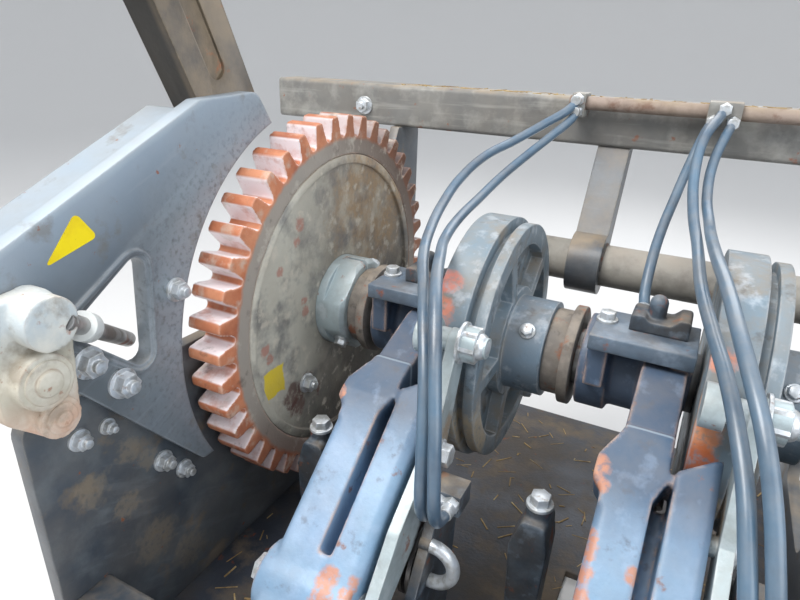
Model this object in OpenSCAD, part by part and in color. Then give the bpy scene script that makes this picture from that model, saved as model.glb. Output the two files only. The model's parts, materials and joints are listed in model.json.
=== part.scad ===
/* [Drive gear] */
// Number of teeth on the drive gear
gear_teeth = 44; // [36:1:50]
// Radius over the tips of the gear teeth
gear_tip_r = 190; // [180:1:196]
// Depth of a gear tooth from tip to root
tooth_depth = 20; // [16:1:26]
// Width of the toothed ring along the shaft
gear_face_w = 34; // [28:1:40]
// Radius of the bolted web disc inside the toothed ring
web_r = 152; // [140:1:156]
// Radius of the gear's clamp hub
gear_hub_r = 48; // [44:1:52]
// Length of the clamp hub in front of the gear
gear_hub_len = 27; // [20:1:34]

/* [Knotter shaft] */
// Radius of the knotter shaft
shaft_r = 25; // [20:0.5:28]
// Radius of the stub on the drive end
stub_r = 20; // [14:0.5:20]
// Length of the stub on the drive end
stub_len = 42; // [30:1:60]
// Radius of the turned end beyond the right bearing
end_r = 22; // [16:0.5:24]
// Length of the turned end beyond the right bearing
end_len = 40; // [30:1:60]
// Radius of the sleeves between the gear, the frames and the discs
spacer_r = 39; // [34:1:44]

/* [Knotter units] */
// Number of knotter units side by side on the shaft
unit_count = 2; // [2:1:2]
// Distance between neighbouring units along the shaft
unit_pitch = 200; // [198:1:220]
// Radius of the marked band on the left of a knotter disc
disc_band_r = 114; // [108:1:118]
// Width of the marked band
disc_band_w = 28; // [24:1:30]
// Radius of the groove beside the band
disc_groove_r = 101; // [96:1:104]
// Radius of the right flange of a knotter disc
disc_flange_r = 110; // [106:1:112]
// Radius of the hub on the right of a knotter disc
disc_hub_r = 44; // [38:1:48]

/* [Knotter frame] */
// Radius of the large end of a frame's hub
frame_hub_r = 41; // [36:1:44]
// Depth of the frame's legs
leg_depth = 46; // [38:1:50]
// Width of the left leg
leg1_w = 32; // [28:1:33]
// Width of the right leg
leg2_w = 26; // [22:1:27]
// Width of the slot between the legs
leg_slot = 10; // [8:1:12]
// Length of the legs from shoulder to foot
leg_len = 192; // [180:1:204]
// Angle of the legs below the horizontal
leg_angle = 38.5; // [36:0.5:41]
// Radius of the round boss across the foot of the legs
foot_boss_r = 27; // [24:1:30]

/* [Stand] */
// Height of the shaft above the feet
shaft_h = 238; // [230:1:260]
// Distance of the shaft behind the middle of the feet
shaft_back = 30; // [20:1:40]
// Thickness of the side plates
side_t = 12; // [8:1:14]
// Thickness of the arm plate that wraps the gear
arm_t = 14; // [10:1:16]
// Gap between the gear's teeth and the arm plate
gear_gap = 10; // [8:1:16]
// Thickness of the deck plate under the knotters
deck_t = 8; // [6:1:10]
// Width of a foot flange
foot_w = 46; // [40:1:60]
// Radius of a foot bolt hole
foot_hole_r = 7; // [5:0.5:8]
// Distance between the front and rear foot bolts
foot_pitch_y = 480; // [460:1:500]
// Outside width of the square front rail
rail_w = 40; // [34:1:44]
// Outside width of the square rear beam
beam_w = 50; // [44:1:56]
// Radius of the round cross tube
tube_r = 22.5; // [18:0.5:24]

/* [Grease line] */
// Radius of the rod that carries the grease hoses
rod_r = 7; // [5:0.5:9]
// Radius of the adjusting rod in the arm plate's window
adjuster_r = 6; // [4:0.5:8]
// Radius of a grease hose
hose_r = 4.5; // [3:0.5:4.5]

/* [Hidden] */
$fn = 64;
// Clearance of pieces that are fixed together, and of a shaft that turns in its bore
seat_gap = 0.1;
run_gap = 0.08;
// Clearance of moving pieces
turn_gap = 5;

// Stations along the shaft, measured from the near face of the gear
gear_back_x = -gear_face_w;
web_recess = 4;
gear_rear_hub_len = 4;
side_clear = 9;
side_left_x1 = gear_back_x - side_clear;
side_left_x0 = side_left_x1 - side_t;
// The arm plate lies on the side plate and reaches into the gear's plane
arm_plate_x1 = side_left_x1 + arm_t;
bearing_out = 24;
bearing_x0 = side_left_x0 - bearing_out;
shaft_x0 = bearing_x0 - 6;
beam_x0 = side_left_x1 - 192;

// Stations inside one unit, measured from the gear's near face plus the unit's offset
hub_x0 = 54;
hub_step_x = 80;
disc_x0 = 146;
hub_x1 = disc_x0 - turn_gap - 1;
groove_w = 7;
flange_t = 9;
band_x1 = disc_x0 + disc_band_w;
flange_x0 = band_x1 + groove_w;
disc_x1 = flange_x0 + flange_t;
disc_hub_len = 34;
disc_end_x = disc_x1 + disc_hub_len;
side_right_x0 = unit_pitch * (unit_count - 1) + disc_end_x + 46;
side_right_x1 = side_right_x0 + side_t;
shaft_x1 = side_right_x1 + bearing_out;

// Stations of a frame's arm and legs, its billhook and its stripper arm inside one unit
leg1_x0 = 99;
leg1_x1 = leg1_x0 + leg1_w;
leg2_x0 = leg1_x1 + leg_slot;
leg2_x1 = leg2_x0 + leg2_w;
nose_x0 = leg1_x0 - 7;
arm_x0 = leg1_x0 + 5;
arm_x1 = leg1_x1 + 6;
spindle_x = 128;
strip_x0 = leg2_x1 + turn_gap;
strip_t = 9;
strip_x1 = strip_x0 + strip_t;
bracket_t = 10;
holder_x0 = strip_x1 + turn_gap;
holder_t = 8;

foot_x_left = side_left_x0 - foot_w / 2;
foot_x_right = side_right_x1 + foot_w / 2;
foot_mid_x = (foot_x_left + foot_x_right) / 2;
foot_t = 12;

// Places in the section across the shaft, as [y, z] from the shaft's axis
foot_y0 = -foot_pitch_y / 2 - shaft_back;
foot_y1 = foot_pitch_y / 2 - shaft_back;
deck_top = deck_t - shaft_h;
leg_dir = [-cos(leg_angle), -sin(leg_angle)];
leg_in = [sin(leg_angle), -cos(leg_angle)];
shoulder = [-150, 0];
foot_at = shoulder + leg_dir * leg_len + leg_in * (leg_depth / 2);
rail_at = foot_at + [-20, -27.5];
front_y = rail_at[0] - rail_w / 2;
rear_y = foot_y1 + 46;
tube_at = [150, 38];
beam_at = [foot_y1 + 20, 180];
rod_at = [beam_at[0] - beam_w / 2 - 16, beam_at[1] + beam_w / 2 - 4];
rod_x0 = 170;

// Distances from the shoulder along the legs
boss_s = 145;
slit_s = 119;
pivot_s = 22;
stop_s = 160;

// The stripper's roller runs on the band, at the front of the disc
roller_r = 15;
roller_w = 14;
roller_gap = 0.3;
roller_turn = 22;
roller_at = (disc_band_r + roller_r + roller_gap) * [-cos(roller_turn), sin(roller_turn)];
pivot_r = 7;
arm_pivot = shoulder + leg_dir * pivot_s + leg_in * pivot_s;
hook_r = 26;
twine_disc_r = 36;
twine_disc_at = [-128, -166];

// Ends of the adjusting rod, which starts inside the bracket's upper boss and leads down to the right
adjuster_from = [arm_plate_x1 + 26, -306, 97];
adjuster_to = [side_left_x1 - 15, -225, 35];
adjuster_dir = (adjuster_to - adjuster_from) / norm(adjuster_to - adjuster_from);
// Distance of the lock nut along the rod, its length and its radius
nut_from = 26;
nut_len = 12;
nut_r = adjuster_r + 3;

// Cap plate on the hub: its front and rear edge, and its thickness
cap_y0 = -58;
cap_y1 = 0;
cap_t = 6;
cap_lip = 8;
cap_top = frame_hub_r + 9;
cap_x0 = 62;
cap_pad_w = 16;
block_x0 = 88;
block_x1 = 132;

// Distances from the shaft's axis along a billhook's spindle
spindle_r = 9;
sleeve_r = 17;
pinion_r = 13;
pinion_s0 = 88;
pinion_s1 = 110;
sleeve_s0 = 128;
sleeve_s1 = 222;
hook_s0 = 230;
hook_t = 9;

// Clamps on the hose rod: distance from the rod's left end, and width
clamp_rows = [[4, 14], [136, 30]];
clamp_h = 24;
clamp_cheek = 5;
clamp_z0 = beam_at[1] + beam_w / 2 - 6 - clamp_h / 2;
clamp_face = rod_at[0] - rod_r - clamp_cheek;
// Seat on each twine holder where two hoses end, side by side
seat_x = holder_x0 + 0.5;
seat_y = -178;
seat_z = -51;
hose_step = 11;
hose_sides = 8;

// Hoses lead off the clamps' front faces at two heights
hose_low = clamp_z0 + 6;
hose_high = clamp_z0 + 18;
clamp_1_x = rod_x0 + clamp_rows[0][0] + clamp_rows[0][1] / 2;
clamp_2_x = rod_x0 + clamp_rows[1][0];

// Routes of the grease hoses, as [x, y, z] from the gear's near face
left_hose_1_route = [
  [clamp_1_x, clamp_face, hose_high], [176, 162, 196], [158, 140, 182], [136, 110, 166], [119, 75, 154],
  [110, 35, 138], [110, -5, 122], [118, -50, 108], [134, -96, 100], [152, -132, 92], [167, -162, 78],
  [180, -186, 56], [188, -202, 30], [193, -212, 4], [195, -216, -18], [194, -210, -38],
  [seat_x + 6, -196, -50], [seat_x + 6, seat_y, seat_z]];
left_hose_2_route = [
  [clamp_1_x, clamp_face, hose_low], [179, 160, 185], [166, 138, 170], [150, 108, 152], [138, 72, 136],
  [131, 34, 122], [128, -6, 112], [134, -52, 106], [150, -100, 106], [166, -142, 100], [180, -172, 84],
  [191, -194, 58], [199, -208, 30], [204, -217, 4], [206, -219, -18], [205, -212, -38],
  [seat_x + 6 + hose_step, -196, -50], [seat_x + 6 + hose_step, seat_y, seat_z]];
block_hose_route = [
  [clamp_2_x + 6, clamp_face, hose_low], [308, 158, 184], [301, 132, 156], [296, 100, 130], [292, 64, 106],
  [291, 36, 86], [292, 14, 66], [294, 2, 58], [294, -6, 57]];
right_hose_1_route = [
  [clamp_2_x + 15, clamp_face, hose_high], [317, 160, 198], [309, 130, 182], [308, 96, 156], [314, 60, 130],
  [323, 20, 112], [332, -58, 102], [343, -115, 94], [353, -162, 87], [361, -192, 74], [368, -214, 57],
  [373, -232, 38], [378, -248, 16], [384, -254, -8], [389, -246, -30], [392, -224, -46],
  [unit_pitch + seat_x + 6, -200, -51], [unit_pitch + seat_x + 6, seat_y, seat_z]];
right_hose_2_route = [
  [clamp_2_x + 24, clamp_face, hose_low], [327, 158, 186], [321, 128, 162], [322, 92, 138], [328, 52, 124],
  [332, 6, 122], [337, -43, 122], [345, -96, 119], [353, -146, 112], [361, -178, 101], [370, -203, 85],
  [378, -221, 63], [385, -240, 36], [390, -250, 14], [396, -255, -8], [400, -247, -30], [403, -224, -46],
  [unit_pitch + seat_x + 6 + hose_step, -200, -51], [unit_pitch + seat_x + 6 + hose_step, seat_y, seat_z]];

function unit_x(n) = (n - 1) * unit_pitch;

// Points of a closed outline whose corners are rounded; each row is [y, z, corner radius]
function rounded(rows, steps = 5) = [
  for (i = [0 : len(rows) - 1])
    let (
      n = len(rows),
      p = [rows[i][0], rows[i][1]],
      a = [rows[(i + n - 1) % n][0], rows[(i + n - 1) % n][1]],
      b = [rows[(i + 1) % n][0], rows[(i + 1) % n][1]],
      u = (a - p) / norm(a - p),
      v = (b - p) / norm(b - p),
      half = acos(max(-1, min(1, u * v))) / 2,
      r = rows[i][2]
    )
    each r < 0.01 ? [p] : [
      let (
        reach = r / tan(half),
        mid = (u + v) / norm(u + v),
        centre = p + mid * r / sin(half),
        from = p + u * reach - centre,
        to = p + v * reach - centre,
        turn = atan2(from[0] * to[1] - from[1] * to[0], from * to)
      )
      for (k = [0 : steps])
        let (w = turn * k / steps)
        centre + [from[0] * cos(w) - from[1] * sin(w), from[0] * sin(w) + from[1] * cos(w)]
    ]
];

// A place on the legs: s along them from the shoulder, d inwards from their front face
function on_leg(s, d) = shoulder + leg_dir * s + leg_in * d;

// Moves from shaft coordinates to the part's own frame
module at_shaft() {
  translate([-foot_mid_x, shaft_back, shaft_h]) children();
}

// Extrudes an outline drawn in y and z along the shaft from x0 to x1
module along_x(x0, x1) {
  translate([x0, 0, 0]) rotate([90, 0, 90]) linear_extrude(height = x1 - x0) children();
}

// A round bar along the shaft direction, centred on a [y, z] place
module bar_x(x0, x1, r, at = [0, 0]) {
  translate([x0, at[0], at[1]]) rotate([0, 90, 0]) cylinder(h = x1 - x0, r = r);
}

// A round bar from one place to another, both [x, y, z]
module bar_between(a, b, r) {
  d = b - a;
  translate(a) rotate([0, acos(d[2] / norm(d)), atan2(d[1], d[0])]) cylinder(h = norm(d), r = r);
}

// Places children on the legs' front face: x across, y down the legs, z into them
module on_legs(n) {
  translate([unit_x(n), shoulder[0], shoulder[1]]) rotate([180 + leg_angle, 0, 0]) children();
}

// Places children on the billhook spindle of unit n, with z running out along the spindle
module on_spindle(n) {
  translate([unit_x(n) + spindle_x, 0, 0]) rotate([leg_angle + 90, 0, 0]) children();
}

// A flat link with round ends, drawn from circles and a quadrilateral
module flat_link(a, b, ra, rb) {
  u = (b - a) / norm(b - a);
  v = [-u[1], u[0]];
  translate(a) circle(r = ra);
  translate(b) circle(r = rb);
  polygon([a + v * ra, b + v * rb, b - v * rb, a - v * ra]);
}

// Toothed outline of the gear
module gear_outline() {
  root_r = gear_tip_r - tooth_depth;
  pitch = 360 / gear_teeth;
  // Share of the pitch where the flank stands, and share of the tooth's depth at that point
  flank = [[0.09, 0], [0.16, 0.13], [0.24, 0.6], [0.3, 0.92], [0.37, 1]];
  polygon([
    for (i = [0 : gear_teeth - 1])
      each concat(
        [for (f = flank) let (a = (i + f[0]) * pitch, r = root_r + f[1] * tooth_depth) r * [cos(a), sin(a)]],
        [for (k = [len(flank) - 1 : -1 : 0])
          let (f = flank[k], a = (i + 1 - f[0]) * pitch, r = root_r + f[1] * tooth_depth) r * [cos(a), sin(a)]]
      )
  ]);
}

module gear_ring() {
  color("sienna") at_shaft() difference() {
    along_x(gear_back_x, 0) gear_outline();
    bar_x(gear_back_x - 1, 1, web_r + seat_gap);
  }
}

// Web disc with a recessed face and a raised edge on both sides
module gear_web() {
  web_x0 = gear_back_x + 6;
  lip_w = 9;
  color("dimgray") at_shaft() difference() {
    bar_x(web_x0, 0, web_r);
    bar_x(-web_recess, 1, web_r - lip_w);
    bar_x(web_x0 - 1, web_x0 + 8, web_r - lip_w);
    bar_x(web_x0 - 1, 1, gear_hub_r + seat_gap);
  }
}

// Split clamp hub that holds the gear on the shaft, with bevelled edges and wrench flats
module gear_hub() {
  slot_w = 5;
  bevel = 4;
  flat_cut = 5;
  x0 = gear_back_x - gear_rear_hub_len;
  color("slategray") at_shaft() difference() {
    translate([x0, 0, 0]) rotate([0, 90, 0]) rotate_extrude() polygon([
      [shaft_r + seat_gap, 0], [gear_hub_r, 0], [gear_hub_r, gear_hub_len - x0 - bevel],
      [gear_hub_r - bevel, gear_hub_len - x0], [shaft_r + seat_gap, gear_hub_len - x0]]);
    translate([bevel, -slot_w / 2, 0]) cube([gear_hub_len, slot_w, gear_hub_r + 1]);
    for (turn = [45 : 90 : 315]) rotate([turn, 0, 0])
      translate([bevel, -gear_hub_r, gear_hub_r - flat_cut]) cube([gear_hub_len, 2 * gear_hub_r, gear_hub_r]);
  }
}

// Sleeve between the running hub of unit n and what stands on its left
module spacer(n) {
  x0 = n == 1 ? gear_hub_len : unit_x(n - 1) + disc_end_x;
  x1 = unit_x(n) + hub_x0 - turn_gap;
  flange_w = 9;
  color("gray") at_shaft() difference() {
    union() {
      bar_x(x0, x1, spacer_r);
      bar_x(x1 - flange_w, x1, spacer_r + 6);
    }
    bar_x(x0 - 1, x1 + 1, shaft_r + seat_gap);
  }
}

// Knotter shaft with the keyed stub and the turned end
module drive_shaft() {
  key_w = 8;
  key_len = 14;
  color("silver") at_shaft() difference() {
    union() {
      bar_x(shaft_x0, shaft_x1, shaft_r);
      bar_x(shaft_x0 - stub_len, shaft_x0, stub_r);
      bar_x(shaft_x1, shaft_x1 + end_len, end_r);
    }
    translate([shaft_x0 - stub_len - 1, -key_w / 2, stub_r - 3]) cube([key_len + 1, key_w, key_w]);
  }
}

// Knotter disc: marked band, groove, right flange and hub, with a ribbed pocket in its right face
module knotter_disc(n) {
  x = unit_x(n);
  pocket_r0 = disc_hub_r + 8;
  pocket_r1 = disc_groove_r - 9;
  pocket_d = 12;
  rib_w = 12;
  segment_teeth = 7;
  segment_step = 7;
  color("gray") at_shaft() difference() {
    union() {
      bar_x(x + disc_x0, x + band_x1, disc_band_r);
      bar_x(x + band_x1 - 1, x + flange_x0 + 1, disc_groove_r);
      bar_x(x + flange_x0, x + disc_x1, disc_flange_r);
      bar_x(x + disc_x1 - 1, x + disc_end_x, disc_hub_r);
    }
    difference() {
      bar_x(x + disc_x1 - pocket_d, x + disc_x1 + 1, pocket_r1);
      bar_x(x + disc_x1 - pocket_d - 1, x + disc_x1 + 2, pocket_r0);
      for (turn = [20 : 72 : 380]) rotate([turn, 0, 0])
        translate([x + disc_x1 - pocket_d - 1, -rib_w / 2, 0]) cube([pocket_d + 3, rib_w, pocket_r1 + 1]);
    }
    // Sunk teeth on the left face that turn the billhook's pinion
    for (k = [0 : segment_teeth - 1]) rotate([200 + k * segment_step, 0, 0])
      translate([x + disc_x0 - 1, -2.5, disc_band_r - 24]) cube([5, 5, 20]);
    bar_x(x + disc_x0 - 1, x + disc_end_x + 1, shaft_r + seat_gap);
  }
}

// Side view of the upper arm and a leg
module arm_profile() {
  step_at = [-114, 13];
  step_h = 3;
  polygon(rounded([
    [-8, 34, 0], [-60, 32, 12], concat(step_at, 0), [step_at[0] - 1, step_at[1] + step_h, 0],
    concat(shoulder, 9), concat(on_leg(leg_len, 0), 0), concat(on_leg(leg_len, leg_depth), 0),
    concat(on_leg(0, leg_depth), 14), [-60, -34, 20], [-8, -33, 0]]));
}

// Front view of the upper arm and the left leg: x across, y down the legs from the shoulder
module arm_plan() {
  top_s = -118;
  polygon(rounded([
    [arm_x0, top_s, 0], [arm_x0, -34, 14], [nose_x0, -9, 8], [nose_x0, 8, 8], [leg1_x0, 15, 8],
    [leg1_x0, leg_len + 1, 0], [leg1_x1, leg_len + 1, 0], [leg1_x1, 12, 8], [arm_x1, -2, 6], [arm_x1, top_s, 0]]));
}

// Prism that bevels a leg's long front edge at x from s0 down, on the side given by dir
module leg_bevel(x, dir, size, s0) {
  translate([x, s0, 0]) rotate([-90, 0, 0]) linear_extrude(height = leg_len + 1 - s0)
    polygon([[-dir * (size + 1), 1], [dir, 1], [dir, -size - 1]]);
}

// Cast knotter frame: hub on the shaft, arm, two legs, foot, billhook sleeve and twine disc bracket
module knotter_frame(n) {
  x = unit_x(n);
  rail_top = rail_at[1] + rail_w / 2;
  rail_front = rail_at[0] - rail_w / 2;
  web_depth = 14;
  web_s0 = 10;
  // Webs, pads and the boss stop this far inside the legs' faces
  inset = 1;
  disc_relief = disc_band_r + turn_gap + 1;
  leg1_bevel = 4;
  leg2_bevel = 5;
  // The left leg's bevel starts below the shoulder
  bevel_s = 24;
  color("lightslategray") at_shaft() difference() {
    union() {
      bar_x(x + hub_x0, x + hub_step_x, frame_hub_r);
      bar_x(x + hub_step_x - 1, x + hub_x1, frame_hub_r - 6);
      difference() {
        intersection() {
          along_x(x + nose_x0 - 1, x + arm_x1 + 1) arm_profile();
          on_legs(n) translate([0, 0, -40]) linear_extrude(height = 220) arm_plan();
        }
        on_legs(n) leg_bevel(leg1_x0, -1, leg1_bevel, bevel_s);
      }
      // Right leg, slanted at its top and relieved round the disc
      difference() {
        on_legs(n) linear_extrude(height = leg_depth)
          polygon([[leg2_x0, -12], [leg2_x1, -29], [leg2_x1, leg_len], [leg2_x0, leg_len]]);
        bar_x(x + leg2_x0 - 1, x + leg2_x1 + 1, disc_relief);
        on_legs(n) leg_bevel(leg2_x1, 1, leg2_bevel, -leg_len);
      }
      // Web at the back of the slit and the solid foot below it
      on_legs(n) translate([leg1_x1 - inset, web_s0, leg_depth - web_depth - inset])
        cube([leg_slot + 2 * inset, leg_len - web_s0 - inset, web_depth]);
      on_legs(n) translate([leg1_x1 - inset, slit_s, inset])
        cube([leg_slot + 2 * inset, leg_len - slit_s - inset, leg_depth - 3 * inset]);
      bar_x(x + leg1_x0 - 6, x + leg2_x1 - inset, foot_boss_r, on_leg(boss_s, leg_depth / 2 + 2));
      // Foot pad on the front rail
      along_x(x + leg1_x0 + inset, x + leg2_x1 - inset) polygon([
        [rail_front, rail_top], [foot_at[0] + 26, rail_top],
        [foot_at[0] + 26, foot_at[1] + 8], [foot_at[0] - 14, foot_at[1] + 6], [rail_front, rail_top + 12]]);
      // Web and sleeve for the billhook spindle
      along_x(x + spindle_x - 20, x + leg1_x1 - inset) polygon([
        on_leg(10, leg_depth - 6), on_leg(leg_len / 2, leg_depth - 6),
        leg_dir * sleeve_s1, leg_dir * (sleeve_s0 + 28)]);
      on_spindle(n) translate([0, 0, sleeve_s0]) cylinder(h = sleeve_s1 - sleeve_s0, r = sleeve_r);
      // Bracket for the twine disc
      along_x(x + leg2_x0 + inset, x + leg2_x0 + bracket_t) polygon(rounded([
        concat(on_leg(30, leg_depth - 4), 0), concat(on_leg(92, leg_depth - 4), 0),
        concat(twine_disc_at + [-14, -14], 12), concat(twine_disc_at + [16, -4], 12)]));
      // Pads under the cap plate
      for (px = [cap_x0, hub_x1 - cap_pad_w]) along_x(x + px, x + px + cap_pad_w)
        translate([cap_y0 + cap_lip, 0]) square([cap_y1 - cap_y0 - cap_lip, cap_top - cap_t]);
    }
    bar_x(x + hub_x0 - 1, x + hub_x1 + 1, shaft_r + run_gap);
    on_spindle(n) translate([0, 0, sleeve_s0 - 1]) cylinder(h = sleeve_s1 - sleeve_s0 + 2, r = spindle_r + run_gap);
    bar_x(x + leg2_x0 - 1, x + leg2_x1 + 1, pivot_r + run_gap, arm_pivot);
    bar_x(x + leg2_x0 - 1, x + leg2_x0 + bracket_t + 1, pivot_r + run_gap, twine_disc_at);
  }
}

// Cap plate on the two pads of a frame's hub, with a lip along its front edge
module frame_cap(n) {
  lip_drop = 7;
  color("lightsteelblue") at_shaft()
    along_x(unit_x(n) + cap_x0, unit_x(n) + hub_x1) polygon([
      [cap_y0, cap_top], [cap_y1, cap_top], [cap_y1, cap_top - cap_t], [cap_y0 + cap_lip, cap_top - cap_t],
      [cap_y0 + cap_lip, cap_top - cap_t - lip_drop], [cap_y0, cap_top - cap_t - lip_drop]]);
}

// Grease block that sits on the cap plate like a saddle, with a round nipple
module grease_block(n) {
  x0 = unit_x(n) + block_x0;
  x1 = unit_x(n) + block_x1;
  y0 = -34;
  depth = 28;
  mid = (x0 + x1) / 2;
  color("black") at_shaft() union() {
    translate([0, y0 + depth, cap_top]) rotate([90, 0, 0]) linear_extrude(height = depth)
      polygon(rounded([
        [x0, 0, 0], [x1, 0, 0], [x1, 16, 3], [x1 - 8, 16, 3], [mid + 8, 10, 4], [mid - 8, 10, 4],
        [x0 + 10, 14, 3], [x0, 14, 3]]));
    translate([mid - 4, y0 + depth / 2, cap_top + 8]) cylinder(h = 14, r = 7);
    translate([mid - 4, y0 + depth / 2, cap_top + 22]) sphere(r = 7);
  }
}

// Stripper arm: roller on the disc's band, pad, flat arm with a bulge and its pivot pin
module stripper_arm(n) {
  x = unit_x(n);
  bulge = on_leg(88, 24);
  stop = on_leg(stop_s, 26);
  color("gray") at_shaft() union() {
    along_x(x + strip_x0, x + strip_x1) union() {
      flat_link(arm_pivot, roller_at, 14, 10);
      flat_link(arm_pivot, bulge, 14, 20);
      flat_link(bulge, stop, 20, 10);
    }
    bar_x(x + disc_x0, x + disc_x0 + roller_w, roller_r, roller_at);
    bar_x(x + disc_x0 + roller_w - 1, x + strip_x0 + 1, 9, roller_at);
    bar_x(x + strip_x1 - 1, x + strip_x1 + 13, 13, roller_at);
    bar_x(x + strip_x1 + 12, x + strip_x1 + 20, 8, roller_at);
    bar_x(x + leg2_x0 + 2, x + strip_x0 + 1, pivot_r, arm_pivot);
  }
}

// Billhook: pinion, spindle and beak
module billhook(n) {
  beak_w = 14;
  color("silver") at_shaft() on_spindle(n) union() {
    translate([0, 0, pinion_s0]) cylinder(h = pinion_s1 - pinion_s0, r = pinion_r);
    translate([0, 0, pinion_s0]) cylinder(h = hook_s0 + hook_t - pinion_s0, r = spindle_r);
    translate([2 - hook_r, -beak_w / 2, hook_s0]) cube([hook_r, beak_w, hook_t]);
    translate([2 - hook_r, -beak_w / 4, hook_s0]) cube([7, beak_w / 2, 22]);
  }
}

// Twine disc stack on its axle
module twine_disc(n) {
  x = unit_x(n) + leg2_x0 + bracket_t + 3;
  disc_t = 4;
  disc_step = 8;
  stack_w = 2 * disc_step + disc_t;
  color("silver") at_shaft() union() {
    for (k = [0 : 2]) bar_x(x + k * disc_step, x + k * disc_step + disc_t, twine_disc_r, twine_disc_at);
    bar_x(x - 2, x + stack_w + 2, 2 * pivot_r, twine_disc_at);
    bar_x(x - 2 - bracket_t, x - 1, pivot_r, twine_disc_at);
  }
}

// Twine holder bracket on the deck, with its open U bolt
module twine_holder(n) {
  x = unit_x(n) + holder_x0;
  foot_len = 30;
  u_r = 5;
  u_bend = 17;
  u_y = -190;
  u_z = -102;
  u_x = x + holder_t + 2;
  seat_w = hose_step + 12;
  seat_h = 18;
  seat_depth = 22;
  color("dimgray") at_shaft() union() {
    along_x(x, x + holder_t) polygon(rounded([
      [-214, deck_top, 0], [-150, deck_top, 0], [-136, -70, 8], [-150, -52, 8], [-176, -58, 8], [-214, -118, 10]]));
    translate([x, -214, deck_top]) cube([foot_len, 64, 8]);
    translate([unit_x(n) + seat_x, seat_y, seat_z - seat_h / 2 - 2]) cube([seat_w, seat_depth, seat_h]);
    // Two shanks and the bend of the U bolt, clear of the stripper arm on the plate's left
    for (side = [-1, 1]) bar_x(x, u_x, u_r, [u_y, u_z + side * u_bend]);
    translate([u_x, u_y, u_z]) rotate([90, 0, 0]) rotate([0, 0, -90])
      rotate_extrude(angle = 180) translate([u_bend, 0]) circle(r = u_r);
  }
}

// Twine guide housing on the deck beside a frame
module twine_guide(n) {
  x0 = unit_x(n) + 40;
  x1 = unit_x(n) + 70;
  y0 = -146;
  y1 = -114;
  top = -74;
  color("darkslategray") at_shaft() union() {
    translate([0, y1, 0]) rotate([90, 0, 0]) linear_extrude(height = y1 - y0)
      polygon(rounded([[x0 + 6, deck_top, 0], [x1 - 4, deck_top, 0], [x1, top - 26, 3], [x1 - 4, top, 5],
        [x0 + 8, top, 5], [x0, top - 26, 3]]));
    translate([(x0 + x1) / 2 + 2, (y0 + y1) / 2, top - 1]) cylinder(h = 9, r = 10);
  }
}

// Outline shared by both side plates; the rear post ends at the given height
module side_outline(post_top) {
  post_y = beam_at[0] - beam_w / 2 - 6;
  polygon(rounded([
    [front_y, -shaft_h, 0], [rear_y, -shaft_h, 0], [rear_y, post_top, 0],
    [post_y, post_top, 0], [tube_at[0] + 18, tube_at[1] + 60, 40],
    [50, 64, 20], [-60, 62, 30], [-150, 14, 30], [front_y, 20, 14]], 6));
}

// Side plate with a rear window and its foot flange; the flange reaches from fx0 to fx1
module side_plate(px0, px1, fx0, fx1, post_top) {
  difference() {
    union() {
      along_x(px0, px1) difference() {
        side_outline(post_top);
        polygon(rounded([[60, -190, 16], [205, -190, 16], [205, -20, 16], [110, -60, 16], [70, -100, 16]]));
      }
      translate([fx0, front_y, -shaft_h]) cube([fx1 - fx0, rear_y - front_y, foot_t]);
    }
    for (y = [foot_y0, foot_y1])
      for (fx = [foot_x_left, foot_x_right])
        translate([fx, y, -shaft_h - 1]) cylinder(h = foot_t + 2, r = foot_hole_r);
  }
}

module side_plate_left() {
  color("darkslategray") at_shaft() difference() {
    side_plate(side_left_x0, side_left_x1, side_left_x0 - foot_w, side_left_x0 + 1, beam_at[1] - beam_w / 2);
    bar_x(side_left_x0 - 1, side_left_x1 + 1, shaft_r + 24);
  }
}

module side_plate_right() {
  color("darkslategray") at_shaft() difference() {
    side_plate(side_right_x0, side_right_x1, side_right_x1 - 1, side_right_x1 + foot_w, beam_at[1] + beam_w / 2 + 10);
    bar_x(side_right_x0 - 1, side_right_x1 + 1, shaft_r + 24);
    bar_x(side_right_x0 - 1, side_right_x1 + 1, tube_r + seat_gap, tube_at);
  }
}

// Deck plate between the side plates, with a needle slot under each unit
module deck_plate() {
  slot_x0 = 74;
  slot_w = 20;
  slot_y0 = -240;
  slot_y1 = -20;
  color("darkslategray") at_shaft() difference() {
    translate([side_left_x1, front_y, -shaft_h]) cube([side_right_x0 - side_left_x1, rear_y - front_y, deck_t]);
    for (n = [1 : unit_count]) translate([unit_x(n) + slot_x0, slot_y0, -shaft_h - 1])
      cube([slot_w, slot_y1 - slot_y0, deck_t + 2]);
  }
}

// Corners of the arm plate's window, each moved outwards from its middle; rows are [y, z, radius]
function window_rows(grow) = [
  for (c = [[-221, 118], [-282, 80], [-281, 66], [-229, 16]])
    let (mid = [-248, 70], d = c - mid) concat(c + d / norm(d) * grow, 9 + grow / 2)
];

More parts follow.
